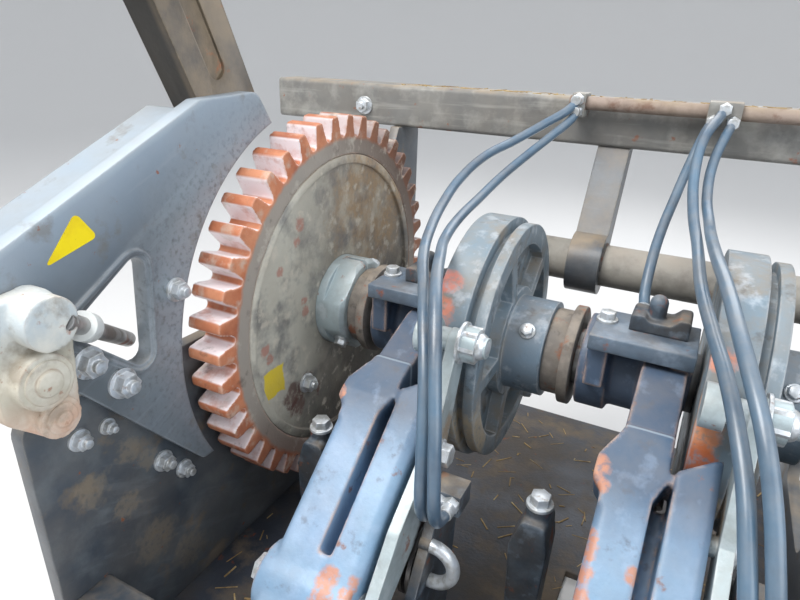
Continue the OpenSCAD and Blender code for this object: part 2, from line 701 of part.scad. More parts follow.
// Arm plate that wraps the front of the gear, with a beaded window and a rolled top edge
module side_arm_left() {
  wrap_r = gear_tip_r + gear_gap;
  roll_w = 30;
  roll_t = 8;
  // The strip lies this far below the plate's edge
  roll_drop = 1;
  top_front = [-345, 128];
  top_rear = [-153, 211];
  len_top = norm(top_rear - top_front);
  top_dir = (top_rear - top_front) / len_top;
  down = [top_dir[1], -top_dir[0]];
  bead_h = 2;
  color("slategray") at_shaft() {
    union() {
      along_x(side_left_x1, arm_plate_x1) difference() {
        polygon(rounded([
          concat(top_front, 0), concat(top_rear, 8), [-88, 214, 12], [-70, 186, 0],
          [0, 0, 0], [-176, -92, 0], [-190, -92, 8], [-290, 30, 14], [top_front[0], 60, 10]]));
        circle(r = wrap_r, $fn = 128);
        polygon(rounded(window_rows(0)));
      }
      along_x(arm_plate_x1 - 1, arm_plate_x1 + bead_h) difference() {
        polygon(rounded(window_rows(12)));
        polygon(rounded(window_rows(6)));
      }
      // Rolled edge that runs back from the plate's top
      along_x(side_left_x1 - roll_w, side_left_x1 + 1) polygon([
        for (c = [[1, roll_drop], [len_top - 12, roll_drop], [len_top - 12, roll_t], [1, roll_t]])
          top_front + top_dir * c[0] + down * c[1]]);
    }
  }
}

// Pressed brace behind the arm plate's top corner, with a long stamped slot and a bolting pad
module arm_brace() {
  low = [-92, 176];
  high = [-152, 304];
  half_w = 31;
  depth = 30;
  sheet = 6;
  slot_half = 9;
  d = (high - low) / norm(high - low);
  v = [d[1], -d[0]];
  x1 = side_left_x1;
  color("dimgray") at_shaft() difference() {
    union() {
      along_x(x1 - sheet, x1) polygon([low - v * half_w, high - v * half_w, high + v * half_w, low + v * half_w]);
      for (side = [-1, 1]) along_x(x1 - depth, x1) polygon([
        low + v * side * half_w, high + v * side * half_w,
        high + v * side * (half_w - sheet), low + v * side * (half_w - sheet)]);
      along_x(x1 - depth - 20, x1) polygon([
        high - v * (half_w + 8), high - v * (half_w + 8) + d * sheet,
        high + v * (half_w + 8) + d * sheet, high + v * (half_w + 8)]);
    }
    along_x(x1 - 3, x1 + 1) flat_link(low + d * 62, high - d * 12, slot_half, slot_half);
  }
}

// Cast bracket on the arm plate with three round bosses; the upper one is bored for the adjusting rod
module rod_bracket() {
  x0 = arm_plate_x1;
  plate_x1 = x0 + 12;
  // Each row is the boss's place across the shaft, its radius and how far it stands out
  bosses = [[-315, 99, 17, 18], [-322, 62, 18, 12], [-316, 32, 14, 8]];
  color("wheat") at_shaft() difference() {
    union() {
      along_x(x0, plate_x1) polygon(rounded([
        [-345, 112, 14], [-303, 118, 14], [-292, 88, 6], [-298, 22, 12], [-318, 14, 10], [-345, 40, 10]]));
      for (b = bosses) bar_x(x0, plate_x1 + b[3], b[2], [b[0], b[1]]);
    }
    bar_between(adjuster_from - adjuster_dir, adjuster_to, adjuster_r + seat_gap);
    bar_between(adjuster_from + adjuster_dir * nut_from, adjuster_to, nut_r + seat_gap);
  }
}

// Adjusting rod that leads back from the bracket through the plate's window, with its lock nut
module adjuster_rod() {
  color("silver") at_shaft() union() {
    bar_between(adjuster_from, adjuster_to, adjuster_r);
    bar_between(adjuster_from + adjuster_dir * nut_from, adjuster_from + adjuster_dir * (nut_from + nut_len),
      nut_r);
  }
}

// Flanged bearing on the outside of a side plate
module bearing(px, dir) {
  x0 = dir < 0 ? px - bearing_out : px;
  x1 = dir < 0 ? px : px + bearing_out;
  flange_t = 12;
  half = 62;
  difference() {
    union() {
      bar_x(x0, x1, shaft_r + 22);
      along_x(dir < 0 ? px - flange_t : px, dir < 0 ? px : px + flange_t)
        polygon(rounded([[-half, -half, 14], [half, -half, 14], [half, half, 14], [-half, half, 14]]));
    }
    bar_x(x0 - 1, x1 + 1, shaft_r + run_gap);
  }
}

module bearing_left() {
  color("dimgray") at_shaft() bearing(side_left_x0, -1);
}

module bearing_right() {
  color("dimgray") at_shaft() bearing(side_right_x1, 1);
}

// Closed square section along the shaft direction
module square_bar(x0, x1, at, w) {
  along_x(x0, x1) translate(at) polygon(rounded([
    [-w / 2, -w / 2, 5], [w / 2, -w / 2, 5], [w / 2, w / 2, 5], [-w / 2, w / 2, 5]]));
}

module front_rail() {
  color("darkslategray") at_shaft() square_bar(side_left_x1, side_right_x0, rail_at, rail_w);
}

module rear_beam() {
  color("gray") at_shaft() square_bar(beam_x0, side_right_x0, beam_at, beam_w);
}

// Capped tube from the hanger to the right side plate
module cross_tube() {
  color("rosybrown") at_shaft() bar_x(unit_x(1) + 128, side_right_x1, tube_r, tube_at);
}

// Hanger that carries the tube's left part from the beam
module tube_hanger() {
  x0 = 203;
  x1 = 237;
  ring_w = 10;
  beam_low = beam_at[1] - beam_w / 2;
  beam_front = beam_at[0] - beam_w / 2;
  color("dimgray") at_shaft() difference() {
    union() {
      along_x(x0, x1) polygon([
        [beam_front + 4, beam_low], [beam_front + 34, beam_low],
        [tube_at[0] + tube_r, tube_at[1] - 2], [tube_at[0] - 8, tube_at[1] + tube_r - 8]]);
      bar_x(x0, x1, tube_r + ring_w, tube_at);
    }
    bar_x(x0 - 1, x1 + 1, tube_r + seat_gap, tube_at);
  }
}

module hose_rod() {
  color("rosybrown") at_shaft() bar_x(rod_x0, side_right_x0, rod_r, rod_at);
}

// Clamps that hold the hose rod on the front of the rear beam, with the hoses' outlets in their front faces
module rod_clamps() {
  beam_front = beam_at[0] - beam_w / 2;
  color("gray") at_shaft()
    for (c = clamp_rows) difference() {
      along_x(rod_x0 + c[0], rod_x0 + c[0] + c[1]) translate([clamp_face, clamp_z0])
        square([beam_front - clamp_face, clamp_h]);
      bar_x(rod_x0 + c[0] - 1, rod_x0 + c[0] + c[1] + 1, rod_r + seat_gap, rod_at);
    }
}

// Points of one ring of a hose round p, square to the direction t
function hose_ring(p, t) =
  let (across = [1, 0, 0] - t * t[0], a = across / norm(across), b = cross(t, a))
  [for (k = [0 : hose_sides - 1]) p + hose_r * (cos(360 * k / hose_sides) * a + sin(360 * k / hose_sides) * b)];

// Hose swept through a route's points; it starts in the direction from and ends in the direction to
module hose(route, from, to) {
  last = len(route) - 1;
  directions = [
    for (i = [0 : last])
      let (d = route[min(i + 1, last)] - route[max(i - 1, 0)])
      i == 0 ? from : i == last ? to : d / norm(d)
  ];
  color("black") at_shaft() polyhedron(
    points = [for (i = [0 : last]) each hose_ring(route[i], directions[i])],
    faces = concat(
      [[for (k = [0 : hose_sides - 1]) k]],
      [[for (k = [hose_sides - 1 : -1 : 0]) last * hose_sides + k]],
      [for (i = [0 : last - 1])
        for (k = [0 : hose_sides - 1])
          let (low = i * hose_sides, high = low + hose_sides, next = (k + 1) % hose_sides)
          each [[low + k, high + k, high + next], [low + k, high + next, low + next]]]
    ));
}

module left_hose_1() {
  hose(left_hose_1_route, [0, -1, 0], [0, 1, 0]);
}

module left_hose_2() {
  hose(left_hose_2_route, [0, -1, 0], [0, 1, 0]);
}

// Hose from the rod to the second unit's grease block
module block_hose() {
  hose(block_hose_route, [0, -1, 0], [0, -1, 0]);
}

module right_hose_1() {
  hose(right_hose_1_route, [0, -1, 0], [0, 1, 0]);
}

module right_hose_2() {
  hose(right_hose_2_route, [0, -1, 0], [0, 1, 0]);
}

side_plate_left();
side_arm_left();
arm_brace();
rod_bracket();
adjuster_rod();
side_plate_right();
bearing_left();
bearing_right();
deck_plate();
front_rail();
rear_beam();
cross_tube();
tube_hanger();
hose_rod();
rod_clamps();
left_hose_1();
left_hose_2();
block_hose();
right_hose_1();
right_hose_2();
knotter_frame(1);  // knotter_frame_1
knotter_frame(2);  // knotter_frame_2
frame_cap(1);  // frame_cap_1
frame_cap(2);  // frame_cap_2
grease_block(1);  // grease_block_1
grease_block(2);  // grease_block_2
twine_holder(1);  // twine_holder_1
twine_holder(2);  // twine_holder_2
twine_guide(1);  // twine_guide_1
twine_guide(2);  // twine_guide_2
drive_shaft();
gear_ring();
gear_web();
gear_hub();
spacer(1);  // spacer_1
spacer(2);  // spacer_2
knotter_disc(1);  // knotter_disc_1
knotter_disc(2);  // knotter_disc_2
stripper_arm(1);  // stripper_arm_1
stripper_arm(2);  // stripper_arm_2
billhook(1);  // billhook_1
billhook(2);  // billhook_2
twine_disc(1);  // twine_disc_1
twine_disc(2);  // twine_disc_2
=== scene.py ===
"""Finishes, bolts, hoses, marks and dirt of the knotter drive shaft assembly, on a plain pale stage."""
import json
import math
import random

import bmesh
import bpy
from mathutils import Matrix, Vector

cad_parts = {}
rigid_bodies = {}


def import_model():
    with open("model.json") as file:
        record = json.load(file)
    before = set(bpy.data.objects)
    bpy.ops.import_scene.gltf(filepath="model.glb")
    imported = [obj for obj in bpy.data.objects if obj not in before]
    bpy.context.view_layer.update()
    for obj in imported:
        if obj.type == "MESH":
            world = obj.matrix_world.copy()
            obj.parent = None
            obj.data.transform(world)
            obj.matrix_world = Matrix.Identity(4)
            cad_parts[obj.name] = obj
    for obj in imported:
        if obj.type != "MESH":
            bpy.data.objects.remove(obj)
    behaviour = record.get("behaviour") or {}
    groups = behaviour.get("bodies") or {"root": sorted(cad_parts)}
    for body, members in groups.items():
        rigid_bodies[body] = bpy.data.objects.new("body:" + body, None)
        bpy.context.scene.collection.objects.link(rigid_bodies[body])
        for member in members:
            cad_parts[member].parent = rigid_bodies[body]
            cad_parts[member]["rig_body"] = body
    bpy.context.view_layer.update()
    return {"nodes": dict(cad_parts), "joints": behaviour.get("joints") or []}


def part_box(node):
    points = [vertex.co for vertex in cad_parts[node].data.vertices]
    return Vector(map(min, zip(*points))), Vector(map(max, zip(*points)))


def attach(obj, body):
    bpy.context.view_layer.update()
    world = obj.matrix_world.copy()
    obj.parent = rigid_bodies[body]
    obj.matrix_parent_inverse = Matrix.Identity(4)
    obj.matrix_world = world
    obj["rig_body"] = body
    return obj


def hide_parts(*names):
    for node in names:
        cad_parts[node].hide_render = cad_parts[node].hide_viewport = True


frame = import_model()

bl_info = {
    "name": "Knotter Drive Shaft Dressing",
    "version": (1, 0, 0),
    "blender": (4, 5, 0),
    "location": "3D View > Sidebar > Knotter Shaft",
    "description": "Dresses the knotter drive shaft assembly with its finishes, bolts, hoses and dirt",
    "category": "Object",
}

# Places and sizes are in millimetres. Places are measured along the shaft, across it and upwards from the
# centre of the gear's near face, as in the part's source.
MM = 0.001
SHAFT_POINT = next(j for j in frame["joints"] if j["name"] == "shaft_turn")["pos_m"]
ORIGIN = Vector((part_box("gear_ring")[1].x, SHAFT_POINT[1], SHAFT_POINT[2]))
UNIT_PITCH = (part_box("knotter_disc_2")[0].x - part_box("knotter_disc_1")[0].x) / MM
UNITS = (1, 2)
ALONG = Vector((1, 0, 0))
UP = Vector((0, 0, 1))
SHARP_ANGLE = math.radians(32)

# Faces that carry what is added here
WINDOW_BEAD = 2
ARM_PLATE_FACE = (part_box("side_arm_left")[1].x - ORIGIN.x) / MM - WINDOW_BEAD
LEFT_PLATE_FACE = (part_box("side_plate_left")[1].x - ORIGIN.x) / MM
BEARING_FLANGE = 12
LEFT_FLANGE_FACE = (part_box("bearing_left")[1].x - ORIGIN.x) / MM - BEARING_FLANGE
RIGHT_FLANGE_FACE = (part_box("bearing_right")[0].x - ORIGIN.x) / MM + BEARING_FLANGE
LEFT_BOSS_FACE = (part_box("bearing_left")[0].x - ORIGIN.x) / MM
RIGHT_BOSS_FACE = (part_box("bearing_right")[1].x - ORIGIN.x) / MM
BRACKET_FACE = (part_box("rod_bracket")[1].x - ORIGIN.x) / MM
DECK_TOP = (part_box("deck_plate")[1].z - ORIGIN.z) / MM
BEAM_TOP = (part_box("rear_beam")[1].z - ORIGIN.z) / MM
BEAM_FRONT = (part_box("rear_beam")[0].y - ORIGIN.y) / MM

# Routes of the grease hoses, repeated from the part's source; each row is the hose's node, the directions in
# which it leaves its first fitting and enters its last one, and its points
HOSE_RADIUS = 4.5
FORWARD = (0, -1, 0)
BACKWARD = (0, 1, 0)
HOSES = [
    ("left_hose_1", FORWARD, BACKWARD, [
        (181, 177, 205), (176, 162, 196), (158, 140, 182), (136, 110, 166), (119, 75, 154), (110, 35, 138),
        (110, -5, 122), (118, -50, 108), (134, -96, 100), (152, -132, 92), (167, -162, 78), (180, -186, 56),
        (188, -202, 30), (193, -212, 4), (195, -216, -18), (194, -210, -38), (192.5, -196, -50),
        (192.5, -178, -51)]),
    ("left_hose_2", FORWARD, BACKWARD, [
        (181, 177, 193), (179, 160, 185), (166, 138, 170), (150, 108, 152), (138, 72, 136), (131, 34, 122),
        (128, -6, 112), (134, -52, 106), (150, -100, 106), (166, -142, 100), (180, -172, 84),
        (191, -194, 58), (199, -208, 30), (204, -217, 4), (206, -219, -18), (205, -212, -38),
        (203.5, -196, -50), (203.5, -178, -51)]),
    ("block_hose", FORWARD, FORWARD, [
        (312, 177, 193), (308, 158, 184), (301, 132, 156), (296, 100, 130), (292, 64, 106), (291, 36, 86),
        (292, 14, 66), (294, 2, 58), (294, -6, 57)]),
    ("right_hose_1", FORWARD, BACKWARD, [
        (321, 177, 205), (317, 160, 198), (309, 130, 182), (308, 96, 156), (314, 60, 130), (323, 20, 112),
        (332, -58, 102), (343, -115, 94), (353, -162, 87), (361, -192, 74), (368, -214, 57), (373, -232, 38),
        (378, -248, 16), (384, -254, -8), (389, -246, -30), (392, -224, -46), (392.5, -200, -51),
        (392.5, -178, -51)]),
    ("right_hose_2", FORWARD, BACKWARD, [
        (330, 177, 193), (327, 158, 186), (321, 128, 162), (322, 92, 138), (328, 52, 124), (332, 6, 122),
        (337, -43, 122), (345, -96, 119), (353, -146, 112), (361, -178, 101), (370, -203, 85),
        (378, -221, 63), (385, -240, 36), (390, -250, 14), (396, -255, -8), (400, -247, -30),
        (403, -224, -46), (403.5, -200, -51), (403.5, -178, -51)]),
]


def at(x, y, z):
    """A place in millimetres from the gear's near face, as a point of the frame."""
    return ORIGIN + Vector((x, y, z)) * MM


def unit_x(unit):
    """How far along the shaft a knotter unit lies from the first one, in millimetres."""
    return (unit - 1) * UNIT_PITCH


def linear(colour):
    """A display colour as the linear colour that a shader takes."""
    return tuple(c / 12.92 if c <= 0.04045 else ((c + 0.055) / 1.055) ** 2.4 for c in colour) + (1.0,)


def tint(name, description, default):
    """A colour that a user would change."""
    return bpy.props.FloatVectorProperty(
        name=name, description=description, default=default, subtype="COLOR_GAMMA", size=3, min=0, max=1)


def length(name, description, default):
    """A size that a user would change, in metres."""
    return bpy.props.FloatProperty(
        name=name, description=description, default=default, min=0, unit="LENGTH", subtype="DISTANCE")


class KnotterColours(bpy.types.PropertyGroup):
    """Colours of the assembly's finishes."""

    slate: tint("Slate paint", "Dark paint of the side plates and the arm plate", (0.30, 0.33, 0.36))
    frame_blue: tint("Frame paint", "Blue-grey paint of the knotter frames", (0.47, 0.60, 0.71))
    gear_red: tint("Gear teeth", "Rusty red of the gear's teeth", (0.74, 0.44, 0.30))
    web_brown: tint("Gear web", "Mottled brown of the gear's web", (0.53, 0.50, 0.46))
    disc_grey: tint("Knotter disc", "Blue-grey of the knotter discs", (0.46, 0.53, 0.58))
    tube_taupe: tint("Cross tube", "Dusty taupe of the tube and rod", (0.55, 0.54, 0.51))
    beam_grey: tint("Rear beam", "Dusty grey of the rear beam", (0.48, 0.48, 0.47))
    cast_cream: tint("Cast bracket", "Faded cream of the cast bracket", (0.76, 0.74, 0.68))
    zinc: tint("Zinc", "Pale zinc of the bolts and fittings", (0.83, 0.85, 0.87))
    triangle_yellow: tint("Triangle", "Yellow of the blank triangle", (0.98, 0.88, 0.06))
    rust: tint("Rust", "Orange-brown rust on edges and spots", (0.55, 0.28, 0.13))
    dust: tint("Dust", "Tan field dust", (0.60, 0.54, 0.46))


class KnotterSizes(bpy.types.PropertyGroup):
    """Sizes of the small pieces that are added to the assembly."""

    bolt_flats: length("Bolt flats", "Width across the flats of a plate bolt", 0.013)
    bolt_head: length("Bolt head", "Height of a plate bolt's head", 0.007)
    washer_radius: length("Washer radius", "Radius of a plate bolt's washer", 0.0095)
    triangle_thickness: length("Triangle thickness", "Thickness of the blank triangle", 0.0005)
    cast_voxel: length("Casting detail", "Smallest detail kept on a rounded casting", 0.0018)
    straw_length: length("Straw length", "Length of the longest bit of straw", 0.022)
    straw_count: bpy.props.IntProperty(
        name="Straw bits", description="How many bits of straw lie on the deck", default=520, min=0)


class KnotterStage(bpy.types.PropertyGroup):
    """Camera and lights."""

    azimuth: bpy.props.FloatProperty(
        name="Azimuth", description="Direction of view round the upright axis",
        default=math.radians(26.72), subtype="ANGLE", unit="ROTATION")
    elevation: bpy.props.FloatProperty(
        name="Elevation", description="How far the camera looks down",
        default=math.radians(23.25), subtype="ANGLE", unit="ROTATION")
    roll: bpy.props.FloatProperty(
        name="Roll", description="Turn of the camera about its view", default=math.radians(1.85),
        subtype="ANGLE", unit="ROTATION")
    lens: bpy.props.FloatProperty(
        name="Lens", description="Focal length in millimetres", default=27.1, min=10, unit="CAMERA")
    key_power: bpy.props.FloatProperty(
        name="Key light", description="Power of the main light", default=25, min=0, unit="POWER")
    fill_power: bpy.props.FloatProperty(
        name="Fill light", description="Power of each of the side lights", default=9, min=0, unit="POWER")


def new_group(name, inputs, outputs):
    """An empty shader group; inputs are rows of label, socket kind and value, outputs of label and kind."""
    tree = bpy.data.node_groups.new(name, "ShaderNodeTree")
    for label, kind, value in inputs:
        socket = tree.interface.new_socket(label, in_out="INPUT", socket_type="NodeSocket" + kind)
        socket.default_value = value
    for label, kind in outputs:
        tree.interface.new_socket(label, in_out="OUTPUT", socket_type="NodeSocket" + kind)
    return tree, tree.nodes.new("NodeGroupInput"), tree.nodes.new("NodeGroupOutput")


def calculate(tree, operation, first, second):
    """A Math node's result; each operand is a socket or a number."""
    node = tree.nodes.new("ShaderNodeMath")
    node.operation = operation
    for socket, operand in zip(node.inputs, (first, second)):
        if isinstance(operand, bpy.types.NodeSocket):
            tree.links.new(operand, socket)
        else:
            socket.default_value = operand
    return node.outputs[0]


def ramp(tree, value, low, high):
    """0 where the value is under low and 1 where it is over high; both are sockets or numbers."""
    node = tree.nodes.new("ShaderNodeMapRange")
    tree.links.new(value, node.inputs["Value"])
    for label, limit in (("From Min", low), ("From Max", high)):
        if isinstance(limit, bpy.types.NodeSocket):
            tree.links.new(limit, node.inputs[label])
        else:
            node.inputs[label].default_value = limit
    return node.outputs["Result"]


def noise(tree, vector, scale, detail=7.0):
    """Noise from 0 to 1 at a scale, which is a socket or a number."""
    node = tree.nodes.new("ShaderNodeTexNoise")
    node.inputs["Detail"].default_value = detail
    node.inputs["Roughness"].default_value = 0.6
    tree.links.new(vector, node.inputs["Vector"])
    if isinstance(scale, bpy.types.NodeSocket):
        tree.links.new(scale, node.inputs["Scale"])
    else:
        node.inputs["Scale"].default_value = scale
    return node.outputs["Fac"]


def object_place(tree, output="Object"):
    """Coordinates that ride with the object."""
    return tree.nodes.new("ShaderNodeTexCoord").outputs[output]


def vector_math(tree, operation, first, second=None):
    """A Vector Math node of one or two vector sockets."""
    node = tree.nodes.new("ShaderNodeVectorMath")
    node.operation = operation
    tree.links.new(first, node.inputs[0])
    if second is not None:
        tree.links.new(second, node.inputs[1])
    return node


def build_patches():
    """Ragged patches of paint, dirt or rust."""
    tree, given, result = new_group(
        "Ragged Patches",
        [("Scale", "Float", 30.0), ("Threshold", "Float", 0.5), ("Softness", "Float", 0.05),
         ("Offset", "Vector", (0, 0, 0))],
        [("Mask", "Float")])
    place = vector_math(tree, "ADD", object_place(tree), given.outputs["Offset"]).outputs[0]
    spread = noise(tree, place, given.outputs["Scale"])
    low = calculate(tree, "SUBTRACT", given.outputs["Threshold"], given.outputs["Softness"])
    high = calculate(tree, "ADD", given.outputs["Threshold"], given.outputs["Softness"])
    tree.links.new(ramp(tree, spread, low, high), result.inputs["Mask"])
    return tree


def build_edge_wear():
    """Rounded edges, and a broken mask along them."""
    tree, given, result = new_group(
        "Edge Wear",
        [("Radius", "Float", 0.002), ("Scale", "Float", 60.0), ("Reach", "Float", 0.1)],
        [("Mask", "Float"), ("Normal", "Vector")])
    rounded = tree.nodes.new("ShaderNodeBevel")
    rounded.samples = 6
    tree.links.new(given.outputs["Radius"], rounded.inputs["Radius"])
    flat = tree.nodes.new("ShaderNodeNewGeometry")
    facing = vector_math(tree, "DOT_PRODUCT", rounded.outputs["Normal"], flat.outputs["Normal"])
    bend = calculate(tree, "SUBTRACT", 1.0, facing.outputs["Value"])
    edge = ramp(tree, bend, 0.008, given.outputs["Reach"])
    broken = ramp(tree, noise(tree, object_place(tree), given.outputs["Scale"]), 0.38, 0.56)
    tree.links.new(calculate(tree, "MULTIPLY", edge, broken), result.inputs["Mask"])
    tree.links.new(rounded.outputs["Normal"], result.inputs["Normal"])
    return tree


def build_dust():
    """Dust that settles on what faces upwards, with a thin film elsewhere."""
    tree, given, result = new_group(
        "Settled Dust",
        [("Amount", "Float", 0.5), ("Film", "Float", 0.15), ("Scale", "Float", 25.0)],
        [("Mask", "Float")])
    axes = tree.nodes.new("ShaderNodeSeparateXYZ")
    tree.links.new(object_place(tree, "Normal"), axes.inputs[0])
    upwards = calculate(tree, "MULTIPLY", ramp(tree, axes.outputs["Z"], 0.2, 0.9), given.outputs["Amount"])
    total = calculate(tree, "ADD", upwards, given.outputs["Film"])
    spread = ramp(tree, noise(tree, object_place(tree), given.outputs["Scale"]), 0.36, 0.66)
    tree.links.new(calculate(tree, "MULTIPLY", total, spread), result.inputs["Mask"])
    return tree


def build_grain():
    """Height of a cast, rolled or painted surface: fine grain and coarse dents."""
    tree, given, result = new_group(
        "Surface Grain",
        [("Scale", "Float", 400.0), ("Dents", "Float", 0.5)],
        [("Height", "Float")])
    place = object_place(tree)
    fine = noise(tree, place, given.outputs["Scale"], 4.0)
    dents = noise(tree, place, calculate(tree, "MULTIPLY", given.outputs["Scale"], 0.12), 3.0)
    height = calculate(tree, "ADD", fine, calculate(tree, "MULTIPLY", dents, given.outputs["Dents"]))
    tree.links.new(height, result.inputs["Height"])
    return tree


def build_spot():
    """One ragged spot, such as a dab of paint."""
    tree, given, result = new_group(
        "Ragged Spot",
        [("Centre", "Vector", (0, 0, 0)), ("Radius", "Float", 0.02), ("Ragged", "Float", 0.01)],
        [("Mask", "Float")])
    place = object_place(tree)
    reach = vector_math(tree, "DISTANCE", place, given.outputs["Centre"]).outputs["Value"]
    wander = calculate(tree, "SUBTRACT", noise(tree, place, 90.0), 0.5)
    far = calculate(tree, "ADD", reach, calculate(tree, "MULTIPLY", wander, given.outputs["Ragged"]))
    inner = calculate(tree, "MULTIPLY", given.outputs["Radius"], 0.7)
    outer = calculate(tree, "MULTIPLY", given.outputs["Radius"], 1.15)
    inside = calculate(tree, "SUBTRACT", 1.0, ramp(tree, far, inner, outer))
    worn = ramp(tree, noise(tree, place, 210.0), 0.28, 0.50)
    tree.links.new(calculate(tree, "MULTIPLY", inside, worn), result.inputs["Mask"])
    return tree


def build_scuffs():
    """Soft scuffs and tool marks, turned and then drawn out by the given stretch."""
    tree, given, result = new_group(
        "Drawn Scuffs",
        [("Turn", "Vector", (0, 0, 0)), ("Stretch", "Vector", (20, 20, 400)), ("Threshold", "Float", 0.6)],
        [("Mask", "Float")])
    turned = tree.nodes.new("ShaderNodeMapping")
    tree.links.new(object_place(tree), turned.inputs["Vector"])
    tree.links.new(given.outputs["Turn"], turned.inputs["Rotation"])
    place = vector_math(tree, "MULTIPLY", turned.outputs[0], given.outputs["Stretch"]).outputs[0]
    spread = noise(tree, place, 1.0, 4.0)
    high = calculate(tree, "ADD", given.outputs["Threshold"], 0.12)
    tree.links.new(ramp(tree, spread, given.outputs["Threshold"], high), result.inputs["Mask"])
    return tree


def build_shade():
    """A shade that grows from one level to another in a direction from a centre."""
    tree, given, result = new_group(
        "Growing Shade",
        [("Centre", "Vector", (0, 0, 0)), ("Direction", "Vector", (0, 0, 1)), ("Low", "Float", 0.0),
         ("High", "Float", 0.1), ("Ragged", "Float", 0.02)],
        [("Mask", "Float")])
    place = vector_math(tree, "SUBTRACT", object_place(tree), given.outputs["Centre"]).outputs[0]
    level = vector_math(tree, "DOT_PRODUCT", place, given.outputs["Direction"]).outputs["Value"]
    shift = calculate(tree, "MULTIPLY", calculate(tree, "SUBTRACT", noise(tree, place, 26.0), 0.5),
                      given.outputs["Ragged"])
    ragged = calculate(tree, "ADD", level, shift)
    tree.links.new(ramp(tree, ragged, given.outputs["Low"], given.outputs["High"]), result.inputs["Mask"])
    return tree


def build_gear_faces():
    """The ring inside the roots of the gear's teeth, and the flanks on which the teeth run."""
    tree, given, result = new_group(
        "Gear Faces",
        [("Centre", "Vector", (0, 0, 0)), ("Root", "Float", 0.17)],
        [("Ring", "Float"), ("Flank", "Float")])
    outward = tree.nodes.new("ShaderNodeVectorMath")
    outward.operation = "MULTIPLY"
    outward.inputs[1].default_value = (0, 1, 1)
    place = vector_math(tree, "SUBTRACT", object_place(tree), given.outputs["Centre"])
    tree.links.new(place.outputs[0], outward.inputs[0])
    radius = vector_math(tree, "LENGTH", outward.outputs[0]).outputs["Value"]
    wander = calculate(tree, "MULTIPLY", noise(tree, place.outputs[0], 60.0), 0.008)
    tooth = ramp(tree, calculate(tree, "ADD", radius, wander), given.outputs["Root"],
                 calculate(tree, "ADD", given.outputs["Root"], 0.004))
    tree.links.new(calculate(tree, "SUBTRACT", 1.0, tooth), result.inputs["Ring"])

    spoke = vector_math(tree, "NORMALIZE", outward.outputs[0]).outputs[0]
    facing = object_place(tree, "Normal")
    top = calculate(tree, "ABSOLUTE", vector_math(tree, "DOT_PRODUCT", facing, spoke).outputs["Value"], 0)
    axes = tree.nodes.new("ShaderNodeSeparateXYZ")
    tree.links.new(facing, axes.inputs[0])
    end = calculate(tree, "ABSOLUTE", axes.outputs["X"], 0)
    side = calculate(tree, "SUBTRACT", 1.0, calculate(tree, "MAXIMUM", top, end))
    worn = calculate(tree, "MULTIPLY", ramp(tree, side, 0.12, 0.42), tooth)
    tree.links.new(worn, result.inputs["Flank"])
    return tree


def build_square():
    """One ragged square of paint that faces along the shaft."""
    tree, given, result = new_group(
        "Ragged Square",
        [("Centre", "Vector", (0, 0, 0)), ("Half", "Float", 0.02), ("Ragged", "Float", 0.01)],
        [("Mask", "Float")])
    place = vector_math(tree, "SUBTRACT", object_place(tree), given.outputs["Centre"]).outputs[0]
    axes = tree.nodes.new("ShaderNodeSeparateXYZ")
    tree.links.new(place, axes.inputs[0])
    reach = calculate(tree, "MAXIMUM", calculate(tree, "ABSOLUTE", axes.outputs["Y"], 0),
                      calculate(tree, "ABSOLUTE", axes.outputs["Z"], 0))
    wander = calculate(tree, "SUBTRACT", noise(tree, place, 90.0), 0.5)
    far = calculate(tree, "ADD", reach, calculate(tree, "MULTIPLY", wander, given.outputs["Ragged"]))
    inner = calculate(tree, "MULTIPLY", given.outputs["Half"], 0.9)
    outside = ramp(tree, far, inner, given.outputs["Half"])
    tree.links.new(calculate(tree, "SUBTRACT", 1.0, outside), result.inputs["Mask"])
    return tree


GROUP_BUILDERS = (
    build_patches, build_edge_wear, build_dust, build_grain, build_spot, build_scuffs, build_shade,
    build_gear_faces, build_square,
)


# First input of a Mix node for each kind of data, and its output
MIX_SOCKETS = {"RGBA": (6, 2), "FLOAT": (2, 0)}


